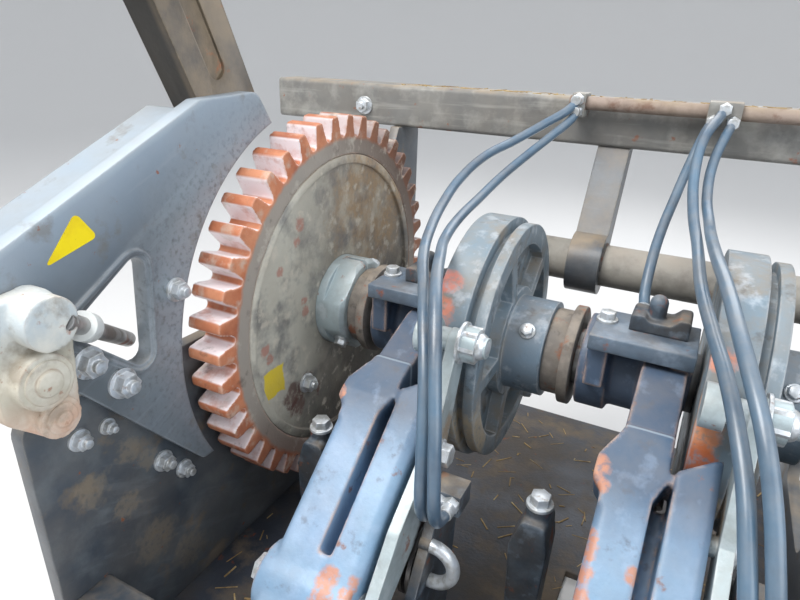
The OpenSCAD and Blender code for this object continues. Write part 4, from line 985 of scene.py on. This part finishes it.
def add_bolt(bm, place, direction, flats, head, washer, stub):
    """A hex head on its washer, with the thread's end standing out where stub is given."""
    axis = Vector(direction).normalized()
    add_cylinder(bm, place - axis * WASHER_SUNK, axis, washer, WASHER_HEIGHT + WASHER_SUNK, 28, 0.0005)
    seat = place + axis * WASHER_HEIGHT
    corner = flats / 2 / math.cos(math.pi / 6)
    add_cylinder(bm, seat - axis * HEAD_SUNK, axis, corner, head, 6, head * 0.14)
    if stub:
        add_cylinder(bm, seat, axis, flats * 0.3, head + stub, 20, 0.0007)


def keep(name, bm, body, material, smooth=True):
    """Makes a piece of a mesh, in place, and lets it ride on its body."""
    bmesh.ops.recalc_face_normals(bm, faces=bm.faces)
    mesh = bpy.data.meshes.new(name)
    bm.to_mesh(mesh)
    bm.free()
    mesh.materials.append(material)
    mesh.polygons.foreach_set("use_smooth", [smooth] * len(mesh.polygons))
    mesh.set_sharp_from_angle(angle=SHARP_ANGLE)
    piece = bpy.data.objects.new(name, mesh)
    bpy.context.scene.collection.objects.link(piece)
    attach(piece, body)
    return piece


def body_of(node):
    """The body that a node of the frame rides on."""
    return frame["nodes"][node]["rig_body"]


def merged_copy(node):
    """A copy of a node's mesh with its seams closed."""
    bm = bmesh.new()
    bm.from_mesh(frame["nodes"][node].data)
    bmesh.ops.remove_doubles(bm, verts=bm.verts, dist=1e-5)
    return bm


def finished(bm, name, node, modifiers):
    """Applies modifiers to a merged copy; each row is a modifier's kind and its settings."""
    mesh = bpy.data.meshes.new(name)
    bm.to_mesh(mesh)
    bm.free()
    blank = bpy.data.objects.new(name, mesh)
    bpy.context.scene.collection.objects.link(blank)
    for kind, settings in modifiers:
        modifier = blank.modifiers.new(kind.title(), kind)
        for key, value in settings.items():
            setattr(modifier, key, value)
    bpy.context.view_layer.update()
    shaped = bpy.data.meshes.new_from_object(blank.evaluated_get(bpy.context.evaluated_depsgraph_get()))
    bpy.data.objects.remove(blank)
    bpy.data.meshes.remove(mesh)
    result = bmesh.new()
    result.from_mesh(shaped)
    bpy.data.meshes.remove(shaped)
    piece = keep(name, result, body_of(node), frame["nodes"][node].material_slots[0].material)
    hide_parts(node)
    return piece


def rounded_casting(node, voxel, rounds):
    """A casting's skin with the soft edges of a sand casting."""
    return finished(merged_copy(node), f"{node}_casting", node, [
        ("REMESH", {"mode": "VOXEL", "voxel_size": voxel}),
        ("SMOOTH", {"factor": 0.5, "iterations": rounds})])


# Faces that meet at less than the first angle are one, and edges sharper than the second are broken
FLAT_ANGLE = math.radians(0.6)
BROKEN_ANGLE = math.radians(38)


def bevelled_plate(node, width):
    """A cut or turned piece with its edges broken."""
    bm = merged_copy(node)
    bmesh.ops.dissolve_limit(bm, angle_limit=FLAT_ANGLE, verts=bm.verts, edges=bm.edges)
    bmesh.ops.remove_doubles(bm, verts=bm.verts, dist=0.0002)
    return finished(bm, f"{node}_bevelled", node, [
        ("BEVEL", {"width": width, "segments": 2, "limit_method": "ANGLE", "profile": 0.5,
                   "angle_limit": BROKEN_ANGLE, "use_clamp_overlap": True})])


class KNOTTER_OT_finishes(bpy.types.Operator):
    """Build the materials and put them on the frame's nodes"""

    bl_idname = "knotter.finishes"
    bl_label = "Finishes"

    def execute(self, context):
        colours = context.scene.knotter_colours
        for build in GROUP_BUILDERS:
            build()
        for name, (make, nodes) in FINISHES.items():
            MATERIALS[name] = make(colours)
            for node in nodes:
                frame["nodes"][node].material_slots[0].material = MATERIALS[name]
        for unit in UNITS:
            frame["nodes"][f"knotter_disc_{unit}"].material_slots[0].material = disc_iron(colours, unit)
        return {"FINISHED"}


# Castings with soft edges: node, detail kept as a share of the set size, and rounds of smoothing
CASTINGS = [
    ("knotter_frame_1", 1.0, 3), ("knotter_frame_2", 1.0, 3), ("gear_ring", 0.9, 2),
    ("rod_bracket", 0.8, 3), ("grease_block_1", 0.6, 3), ("grease_block_2", 0.6, 3),
    ("twine_guide_1", 0.9, 2), ("twine_guide_2", 0.9, 2), ("bearing_left", 1.0, 2),
    ("bearing_right", 1.0, 2),
]
# Plates and turned pieces with broken edges: node and the bevel's width in millimetres
PLATES = [
    ("side_arm_left", 1.2), ("gear_web", 1.0), ("gear_hub", 0.8), ("knotter_disc_1", 1.6),
    ("knotter_disc_2", 1.6), ("frame_cap_1", 0.8), ("frame_cap_2", 0.8), ("spacer_1", 0.9),
    ("spacer_2", 0.9), ("rod_clamps", 0.8), ("deck_plate", 0.8), ("front_rail", 0.6),
    ("rear_beam", 0.6), ("drive_shaft", 1.0), ("hose_rod", 0.6), ("cross_tube", 0.8),
    ("side_plate_left", 1.0), ("side_plate_right", 1.0), ("arm_brace", 0.9),
]


class KNOTTER_OT_castings(bpy.types.Operator):
    """Round the edges of the castings"""

    bl_idname = "knotter.castings"
    bl_label = "Castings"

    def execute(self, context):
        for node, share, rounds in CASTINGS:
            rounded_casting(node, context.scene.knotter_sizes.cast_voxel * share, rounds)
        return {"FINISHED"}


class KNOTTER_OT_plates(bpy.types.Operator):
    """Break the edges of the plates and turned pieces"""

    bl_idname = "knotter.plates"
    bl_label = "Plates"

    def execute(self, context):
        for node, width in PLATES:
            bevelled_plate(node, width * MM)
        return {"FINISHED"}


# Bolts on the stand: place, direction, and size as a share of the plate bolt's
STAND_BOLTS = [
    ((ARM_PLATE_FACE, -280, 49), ALONG, 1.25), ((ARM_PLATE_FACE, -257, 21), ALONG, 1.25),
    ((ARM_PLATE_FACE, -198, 74), ALONG, 1.0),
    ((LEFT_PLATE_FACE, -289, -14), ALONG, 0.9), ((LEFT_PLATE_FACE, -266, -16), ALONG, 0.7),
    ((LEFT_PLATE_FACE, -222, -78), ALONG, 1.0), ((LEFT_PLATE_FACE, -202, -100), ALONG, 0.9),
    ((-97, BEAM_FRONT, 178), (0, -1, 0), 1.2),
]
# How far the threads of these bolts and of the web's bolt stand out of the heads, in metres
STAND_THREAD = 0.004
WEB_THREAD = 0.003
# The flange bolts of the bearings: distance from the shaft both ways, and size as a share
FLANGE_BOLT = 46
FLANGE_SHARE = 1.2
# A bearing's grease nipple: distance from the boss's face, then its foot and its head, each with its height
# above the shaft, and radius, length, sides, chamfer and end radius in metres
NIPPLE_INSET = 6
NIPPLE_PARTS = [(46, 0.0042, 0.004, 6, 0.0, 0.0042), (49.8, 0.0030, 0.006, 20, 0.0009, 0.0022)]
# Bolts of one unit: place from the unit's start, direction, and size as a share
UNIT_BOLTS = [
    ((70, -24, 50), UP, 0.9), ((57, -130, -66), UP, 1.1), ((93, -248, -110), -ALONG, 1.5),
    ((166, -248, -110), ALONG, 1.5),
]
# Bolt in the web: place across the shaft and upwards, and size as a share
WEB_BOLT = (-69, -69, 1.1)
# Screws round a disc's hub and round the gear's hub: distance along the shaft, radius, turns in degrees, and
# size as a share
DISC_SCREWS = (208, 43.6, (20, 140, 260), 0.75)
HUB_SCREWS = (16, 43, (45, 225), 0.85)
# Raised rings on the cast bracket's lower bosses: place across the shaft and upwards, depth under the
# highest boss, and the radii of the ring and of the cap in its middle
BRACKET_RINGS = [(-322, 62, 6, 14.5, 8.5), (-316, 32, 10, 10.5, 5.5)]
# Height, sides and chamfer of a ring, and of the cap in its middle, in metres
RING_SIZES = (0.0022, 48, 0.0008)
CAP_SIZES = (0.0046, 40, 0.0014)
# The small bolt of a stripper arm in its unit, and its size as a share
ARM_BOLT = (181, -153.5, -30.9)
ARM_BOLT_SHARE = 1.2
# The dome nut of a stripper arm: axis across the shaft and upwards, then its washer and its hexagon, each
# with its place along the shaft in the unit, and radius, height, sides and chamfer in metres
DOME_AXIS = (-119.9, 48.4)
DOME_RINGS = [(180.5, 0.0165, 0.0025, 32, 0.0006), (183, 0.0142, 0.0115, 6, 0.0012)]
# The dome itself: its middle along the shaft in the unit, its radius in metres, and how flat it is
DOME_MIDDLE = 194
DOME_RADIUS = 0.0105
DOME_FLATNESS = (0.8, 1, 1)


def plate_bolt(bm, place, direction, share, stub=0.0):
    """A bolt at a place in millimetres, as large as a share of the plate bolt."""
    sizes = bpy.context.scene.knotter_sizes
    add_bolt(bm, at(*place), direction, sizes.bolt_flats * share, sizes.bolt_head * share,
             sizes.washer_radius * share, stub)


def ring_of_screws(bm, along, radius, turns, share):
    """Screws that stand out of a hub at turns in degrees round the shaft."""
    for turn in turns:
        out = Vector((0, math.cos(math.radians(turn)), math.sin(math.radians(turn))))
        plate_bolt(bm, (along, out.y * radius, out.z * radius), out, share)


def add_dome_nut(bm, unit):
    """The dome nut on a stripper arm's roller, on its washer."""
    x = unit_x(unit)
    for along, *sizes in DOME_RINGS:
        add_cylinder(bm, at(x + along, *DOME_AXIS), ALONG, *sizes)
    middle = at(x + DOME_MIDDLE, *DOME_AXIS)
    dome = bmesh.ops.create_uvsphere(bm, u_segments=28, v_segments=16, radius=DOME_RADIUS,
                                     matrix=Matrix.Translation(middle) @ direction_matrix(ALONG))
    bmesh.ops.scale(bm, vec=DOME_FLATNESS, space=Matrix.Translation(-middle), verts=dome["verts"])


class KNOTTER_OT_bolts(bpy.types.Operator):
    """Add the bolts, nuts and screws"""

    bl_idname = "knotter.bolts"
    bl_label = "Bolts"

    def execute(self, context):
        stand = bmesh.new()
        for place, direction, share in STAND_BOLTS:
            plate_bolt(stand, place, direction, share, STAND_THREAD)
        for across in (-FLANGE_BOLT, FLANGE_BOLT):
            for upwards in (-FLANGE_BOLT, FLANGE_BOLT):
                plate_bolt(stand, (LEFT_FLANGE_FACE, across, upwards), -ALONG, FLANGE_SHARE)
                plate_bolt(stand, (RIGHT_FLANGE_FACE, across, upwards), ALONG, FLANGE_SHARE)
        for x in (LEFT_BOSS_FACE + NIPPLE_INSET, RIGHT_BOSS_FACE - NIPPLE_INSET):
            for upwards, *sizes in NIPPLE_PARTS:
                add_cylinder(stand, at(x, 0, upwards), UP, *sizes)
        for unit in UNITS:
            for (along, across, upwards), direction, share in UNIT_BOLTS:
                plate_bolt(stand, (unit_x(unit) + along, across, upwards), direction, share)
        keep("stand_bolts", stand, "stand", MATERIALS["zinc"])

        rings = bmesh.new()
        for across, upwards, depth, ring, cap in BRACKET_RINGS:
            seat = at(BRACKET_FACE - depth - 1, across, upwards)
            add_cylinder(rings, seat, ALONG, ring * MM, *RING_SIZES)
            add_cylinder(rings, seat, ALONG, cap * MM, *CAP_SIZES)
        keep("bracket_rings", rings, "stand", MATERIALS["cream"])

        shaft = bmesh.new()
        across, upwards, share = WEB_BOLT
        plate_bolt(shaft, (WEB_FACE, across, upwards), ALONG, share, WEB_THREAD)
        along, radius, turns, share = DISC_SCREWS
        for unit in UNITS:
            ring_of_screws(shaft, unit_x(unit) + along, radius, turns, share)
        ring_of_screws(shaft, *HUB_SCREWS)
        keep("shaft_bolts", shaft, "knotter_shaft", MATERIALS["zinc"])

        for unit in UNITS:
            arm = bmesh.new()
            along, across, upwards = ARM_BOLT
            plate_bolt(arm, (unit_x(unit) + along, across, upwards), ALONG, ARM_BOLT_SHARE)
            add_dome_nut(arm, unit)
            keep(f"dome_nut_{unit}", arm, f"stripper_{unit}", MATERIALS["zinc"])
        return {"FINISHED"}


def swept(name, points, radius, start=None, end=None):
    """A smooth round bar through points, as a mesh; start and end are the directions at its ends."""
    curve = bpy.data.curves.new(name, "CURVE")
    curve.dimensions = "3D"
    curve.bevel_depth = radius
    curve.bevel_resolution = 5
    curve.resolution_u = 8
    curve.use_fill_caps = True
    spline = curve.splines.new("BEZIER")
    spline.bezier_points.add(len(points) - 1)
    for knot, point in zip(spline.bezier_points, points):
        knot.co = point
        knot.handle_left_type = knot.handle_right_type = "AUTO"
    holder = bpy.data.objects.new(name, curve)
    bpy.context.scene.collection.objects.link(holder)
    bpy.context.view_layer.update()
    reach = (points[1] - points[0]).length / 3
    for knot, direction in ((spline.bezier_points[0], start), (spline.bezier_points[-1], end)):
        if direction is not None:
            knot.handle_left_type = knot.handle_right_type = "FREE"
            knot.handle_right = knot.co + Vector(direction) * reach
            knot.handle_left = knot.co - Vector(direction) * reach
    bpy.context.view_layer.update()
    mesh = bpy.data.meshes.new_from_object(holder.evaluated_get(bpy.context.evaluated_depsgraph_get()))
    bpy.data.objects.remove(holder)
    bpy.data.curves.remove(curve)
    bm = bmesh.new()
    bm.from_mesh(mesh)
    bpy.data.meshes.remove(mesh)
    bmesh.ops.remove_doubles(bm, verts=bm.verts, dist=1e-6)
    return bm


# Rings of a fitting, from the hose's end: start along the hose, radius, length, sides and chamfer, in metres
FITTING_RINGS = [(-0.0004, 0.0064, 0.0056, 6, 0.0006), (0.005, 0.0053, 0.009, 24, 0.0008)]


class KNOTTER_OT_hoses(bpy.types.Operator):
    """Add the grease hoses with their fittings"""

    bl_idname = "knotter.hoses"
    bl_label = "Hoses"

    def execute(self, context):
        fittings = bmesh.new()
        for node, leaves, enters, route in HOSES:
            points = [at(*p) for p in route]
            bm = swept(node, points, HOSE_RADIUS * MM, leaves, enters)
            piece = keep(f"{node}_rubber", bm, "stand", MATERIALS["rubber"])
            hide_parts(node)
            for point, direction in ((points[0], Vector(leaves)), (points[-1], -Vector(enters))):
                for start, radius, height, sides, chamfer in FITTING_RINGS:
                    add_cylinder(fittings, point + direction * start, direction, radius, height, sides,
                                 chamfer)
        keep("hose_fittings", fittings, "stand", MATERIALS["zinc"])
        return {"FINISHED"}


# Corners of the blank triangle across the shaft and upwards, and how much they are rounded, in metres
TRIANGLE = [(-269, 151), (-256, 132), (-295, 122)]
TRIANGLE_ROUND = 0.0045
# The adjusting rod's ends, and where its white collar starts and ends along it, with the collar's radius
ROD_START = (-3, -306, 97)
ROD_END = (-58, -225, 35)
COLLAR_SPAN = (25.4, 38.6)
COLLAR_RADIUS = 10
# A unit's clip: middle of its bend in the unit, radius of the bend, where its ends stand along the shaft in
# the unit, and the radius of its bar
CLIP_MIDDLE = (196, -190, -102)
CLIP_BEND = 17
CLIP_ENDS = 194.5
CLIP_BAR = 5.3


class KNOTTER_OT_marks(bpy.types.Operator):
    """Add the blank triangle and the pale clips"""

    bl_idname = "knotter.marks"
    bl_label = "Marks and clips"

    def execute(self, context):
        thickness = context.scene.knotter_sizes.triangle_thickness
        bm = bmesh.new()
        corners = [bm.verts.new(at(ARM_PLATE_FACE, across, upwards)) for across, upwards in TRIANGLE]
        face = bm.faces.new(corners)
        lifted = bmesh.ops.extrude_face_region(bm, geom=[face])
        verts = [g for g in lifted["geom"] if isinstance(g, bmesh.types.BMVert)]
        bmesh.ops.translate(bm, verts=verts, vec=(thickness, 0, 0))
        upright = [e for e in bm.edges if abs(e.verts[0].co.x - e.verts[1].co.x) > thickness / 2]
        bmesh.ops.bevel(bm, geom=upright, offset=TRIANGLE_ROUND, offset_type="OFFSET", segments=5,
                        profile=0.5, affect="EDGES", material=-1)
        keep("yellow_triangle", bm, "stand", MATERIALS["triangle"])

        collar = bmesh.new()
        along = (at(*ROD_END) - at(*ROD_START)).normalized()
        low, high = (reach * MM for reach in COLLAR_SPAN)
        add_cylinder(collar, at(*ROD_START) + along * low, along, COLLAR_RADIUS * MM, high - low, 40, 0.0012)
        keep("rod_collar", collar, "stand", MATERIALS["white"])

        along, across, upwards = CLIP_MIDDLE
        for unit in UNITS:
            x = unit_x(unit)
            route = [(x + CLIP_ENDS, across, upwards + CLIP_BEND)]
            for turn in range(0, 181, 20):
                out = CLIP_BEND * math.sin(math.radians(turn))
                route.append((x + along + out, across, upwards + CLIP_BEND * math.cos(math.radians(turn))))
            route.append((x + CLIP_ENDS, across, upwards - CLIP_BEND))
            clip = swept(f"clip_{unit}", [at(*p) for p in route], CLIP_BAR * MM)
            keep(f"holder_clip_{unit}", clip, "stand", MATERIALS["zinc"])
        return {"FINISHED"}


def add_weld(bm, points, radius):
    """A rippled weld bead through points."""
    for start, end in zip(points, points[1:]):
        ripples = max(1, round((end - start).length / (radius * 0.8)))
        for k in range(ripples):
            bmesh.ops.create_icosphere(bm, subdivisions=2, radius=radius,
                                       matrix=Matrix.Translation(start.lerp(end, k / ripples)))


# Steps of a ring of points
RING_STEPS = 48
# The cross tube: its axis across the shaft and upwards, and its radius
TUBE_AXIS = (150, 38)
TUBE_RADIUS = 22.5
# Faces beside which the tube is welded: the right plate's, and the two sides of the hanger
RIGHT_PLATE_FACE = 470
HANGER_SIDES = (203, 237)
# Radii of the beads at the plate and at the hanger, in metres
PLATE_BEAD = 0.0024
HANGER_BEAD = 0.0018


def tube_ring(x, gap):
    """Points of a ring round the cross tube, a gap away from its skin, in millimetres."""
    across, upwards = TUBE_AXIS
    radius = TUBE_RADIUS + gap
    turns = [2 * math.pi * k / RING_STEPS for k in range(RING_STEPS + 1)]
    return [at(x, across + radius * math.cos(t), upwards + radius * math.sin(t)) for t in turns]


class KNOTTER_OT_welds(bpy.types.Operator):
    """Add the weld beads of the stand"""

    bl_idname = "knotter.welds"
    bl_label = "Welds"

    def execute(self, context):
        bm = bmesh.new()
        add_weld(bm, tube_ring(RIGHT_PLATE_FACE - 0.6, 1), PLATE_BEAD)
        for x in HANGER_SIDES:
            upper_half = tube_ring(x, 0.6)[:RING_STEPS // 2 + 1]
            add_weld(bm, upper_half, HANGER_BEAD)
        keep("weld_beads", bm, "stand", MATERIALS["weld"])
        return {"FINISHED"}


# Where straw lies: two opposite corners of a level patch along and across the shaft, its height, and its
# share of the bits
STRAW_BEDS = [
    ((-40, -320), (466, 240), DECK_TOP, 0.8), ((-60, 208), (466, 252), BEAM_TOP, 0.2),
]
# Length of a bit as a share of the longest, its width in metres, and how far it keeps from the patch's edge
STRAW_SHARE = (0.15, 1.0)
STRAW_WIDTH = (0.0006, 0.0016)
STRAW_MARGIN = 2
SEED = 7


class KNOTTER_OT_straw(bpy.types.Operator):
    """Scatter bits of straw on the deck and the beam"""

    bl_idname = "knotter.straw"
    bl_label = "Straw"

    def execute(self, context):
        sizes = context.scene.knotter_sizes
        draw = random.Random(SEED)
        bm = bmesh.new()
        for (x0, y0), (x1, y1), height, share in STRAW_BEDS:
            for _ in range(int(sizes.straw_count * share)):
                span = sizes.straw_length * draw.uniform(*STRAW_SHARE)
                width = draw.uniform(*STRAW_WIDTH)
                reach = span / MM / 2 + STRAW_MARGIN
                x = draw.uniform(x0 + reach, x1 - reach)
                y = draw.uniform(y0 + reach, y1 - reach)
                place = Matrix.Translation(at(x, y, height) + UP * width * 0.25)
                turn = Matrix.Rotation(draw.uniform(0, math.pi), 4, "Z")
                size = Matrix.Diagonal((span, width, width * 0.5, 1))
                bmesh.ops.create_cube(bm, size=1.0, matrix=place @ turn @ size)
        keep("straw_bits", bm, "stand", MATERIALS["straw"], False)
        return {"FINISHED"}


# Place of the camera, fitted to the photograph, and the point that the lights look at
CAMERA_PLACE = (320.1, -503.8, 255.9)
LIT_POINT = (150, 0, 40)
# Lights: name, place, the setting that holds the power, edge in metres, and colour
LIGHTS = [
    ("key", (-250, -650, 1250), "key_power", 0.8, (1, 0.98, 0.95)),
    ("fill", (1200, -600, 600), "fill_power", 1.0, (0.92, 0.96, 1)),
    ("back", (300, 1100, 900), "fill_power", 1.0, (1, 1, 1)),
]
# Colour and strength of the even light from all around
BACKDROP = (0.86, 0.89, 0.93, 1)
BACKDROP_STRENGTH = 1.2
# The floor in metres: radius of its flat part, radius of the bend up to its wall, and height of the wall
FLOOR_REACH = 3.4
FLOOR_BEND = 2.0
FLOOR_WALL = 4.0
BEND_STEPS = 16


def add_light(name, place, aim, power, size, colour):
    """A soft square light that looks at a point."""
    data = bpy.data.lights.new(name, "AREA")
    data.energy = power
    data.size = size
    data.color = colour
    lamp = bpy.data.objects.new(name, data)
    lamp.location = place
    lamp.rotation_euler = (aim - place).to_track_quat("-Z", "Y").to_euler()
    bpy.context.scene.collection.objects.link(lamp)


def add_floor():
    """A round floor that bends up into a wall on all sides."""
    floor = bmesh.new()
    profile = [(0, 0, 0)]
    for step in range(BEND_STEPS + 1):
        turn = math.pi / 2 * step / BEND_STEPS
        out = FLOOR_REACH + FLOOR_BEND * math.sin(turn)
        profile.append((out, 0, FLOOR_BEND - FLOOR_BEND * math.cos(turn)))
    profile.append((FLOOR_REACH + FLOOR_BEND, 0, FLOOR_BEND + FLOOR_WALL))
    corners = [floor.verts.new(p) for p in profile]
    rim = [floor.edges.new(pair) for pair in zip(corners, corners[1:])]
    bmesh.ops.spin(floor, geom=corners + rim, cent=(0, 0, 0), axis=(0, 0, 1), dvec=(0, 0, 0),
                   angle=2 * math.pi, steps=72, use_merge=True, use_duplicate=False)
    bmesh.ops.remove_doubles(floor, verts=floor.verts, dist=1e-5)
    bmesh.ops.recalc_face_normals(floor, faces=floor.faces)
    bmesh.ops.reverse_faces(floor, faces=floor.faces)
    mesh = bpy.data.meshes.new("floor")
    floor.to_mesh(mesh)
    floor.free()
    mesh.polygons.foreach_set("use_smooth", [True] * len(mesh.polygons))
    paint = Finish("Studio floor", (0.84, 0.84, 0.84), roughness=0.85)
    mesh.materials.append(paint.done(grain=40, dents=0.2, relief=0.03))
    ground = bpy.data.objects.new("floor", mesh)
    bpy.context.scene.collection.objects.link(ground)


def add_camera(stage):
    """The camera, turned as the stage's settings say."""
    ahead = Vector((-math.sin(stage.azimuth), math.cos(stage.azimuth), 0))
    side = Vector((math.cos(stage.azimuth), math.sin(stage.azimuth), 0))
    view = ahead * math.cos(stage.elevation) - UP * math.sin(stage.elevation)
    above = ahead * math.sin(stage.elevation) + UP * math.cos(stage.elevation)
    right = side * math.cos(stage.roll) + above * math.sin(stage.roll)
    top = above * math.cos(stage.roll) - side * math.sin(stage.roll)
    data = bpy.data.cameras.new("camera")
    data.lens = stage.lens
    data.sensor_width = 36
    data.clip_start = 0.01
    camera = bpy.data.objects.new("camera", data)
    turn = Matrix((right, top, -view)).transposed().to_4x4()
    camera.matrix_world = Matrix.Translation(at(*CAMERA_PLACE)) @ turn
    bpy.context.scene.collection.objects.link(camera)
    bpy.context.scene.camera = camera


class KNOTTER_OT_stage(bpy.types.Operator):
    """Set up the floor, the lights and the camera"""

    bl_idname = "knotter.stage"
    bl_label = "Stage"

    def execute(self, context):
        add_floor()
        world = bpy.data.worlds.new("Studio")
        world.use_nodes = True
        backdrop = world.node_tree.nodes["Background"]
        backdrop.inputs["Color"].default_value = BACKDROP
        backdrop.inputs["Strength"].default_value = BACKDROP_STRENGTH
        context.scene.world = world
        context.scene.view_settings.view_transform = "Standard"

        stage = context.scene.knotter_stage
        for name, place, power, size, colour in LIGHTS:
            add_light(name, at(*place), at(*LIT_POINT), getattr(stage, power), size, colour)
        add_camera(stage)
        return {"FINISHED"}


class KNOTTER_PT_dressing(bpy.types.Panel):
    """The steps that dress the assembly, with their settings"""

    bl_idname = "KNOTTER_PT_dressing"
    bl_label = "Knotter Shaft"
    bl_space_type = "VIEW_3D"
    bl_region_type = "UI"
    bl_category = "Knotter Shaft"

    def draw(self, context):
        for step in STEPS:
            self.layout.operator(step.bl_idname)
        for group in SETTINGS:
            settings = getattr(context.scene, group)
            box = self.layout.box()
            for name in settings.__annotations__:
                box.prop(settings, name)


SETTINGS = {"knotter_colours": KnotterColours, "knotter_sizes": KnotterSizes, "knotter_stage": KnotterStage}
STEPS = (
    KNOTTER_OT_finishes, KNOTTER_OT_stage, KNOTTER_OT_castings, KNOTTER_OT_plates, KNOTTER_OT_bolts,
    KNOTTER_OT_hoses, KNOTTER_OT_marks, KNOTTER_OT_welds, KNOTTER_OT_straw,
)


def register():
    """Registers the settings, the steps and the panel."""
    for kind in (*SETTINGS.values(), *STEPS, KNOTTER_PT_dressing):
        bpy.utils.register_class(kind)
    for name, kind in SETTINGS.items():
        setattr(bpy.types.Scene, name, bpy.props.PointerProperty(type=kind))


def unregister():
    """Removes what register added."""
    for name in SETTINGS:
        delattr(bpy.types.Scene, name)
    for kind in (KNOTTER_PT_dressing, *reversed(STEPS), *SETTINGS.values()):
        bpy.utils.unregister_class(kind)


def main():
    """Runs every step in order."""
    register()
    bpy.ops.knotter.finishes()
    bpy.ops.knotter.stage()
    bpy.ops.knotter.castings()
    bpy.ops.knotter.plates()
    bpy.ops.knotter.bolts()
    bpy.ops.knotter.hoses()
    bpy.ops.knotter.marks()
    bpy.ops.knotter.welds()
    bpy.ops.knotter.straw()


if __name__ == "__main__":
    main()
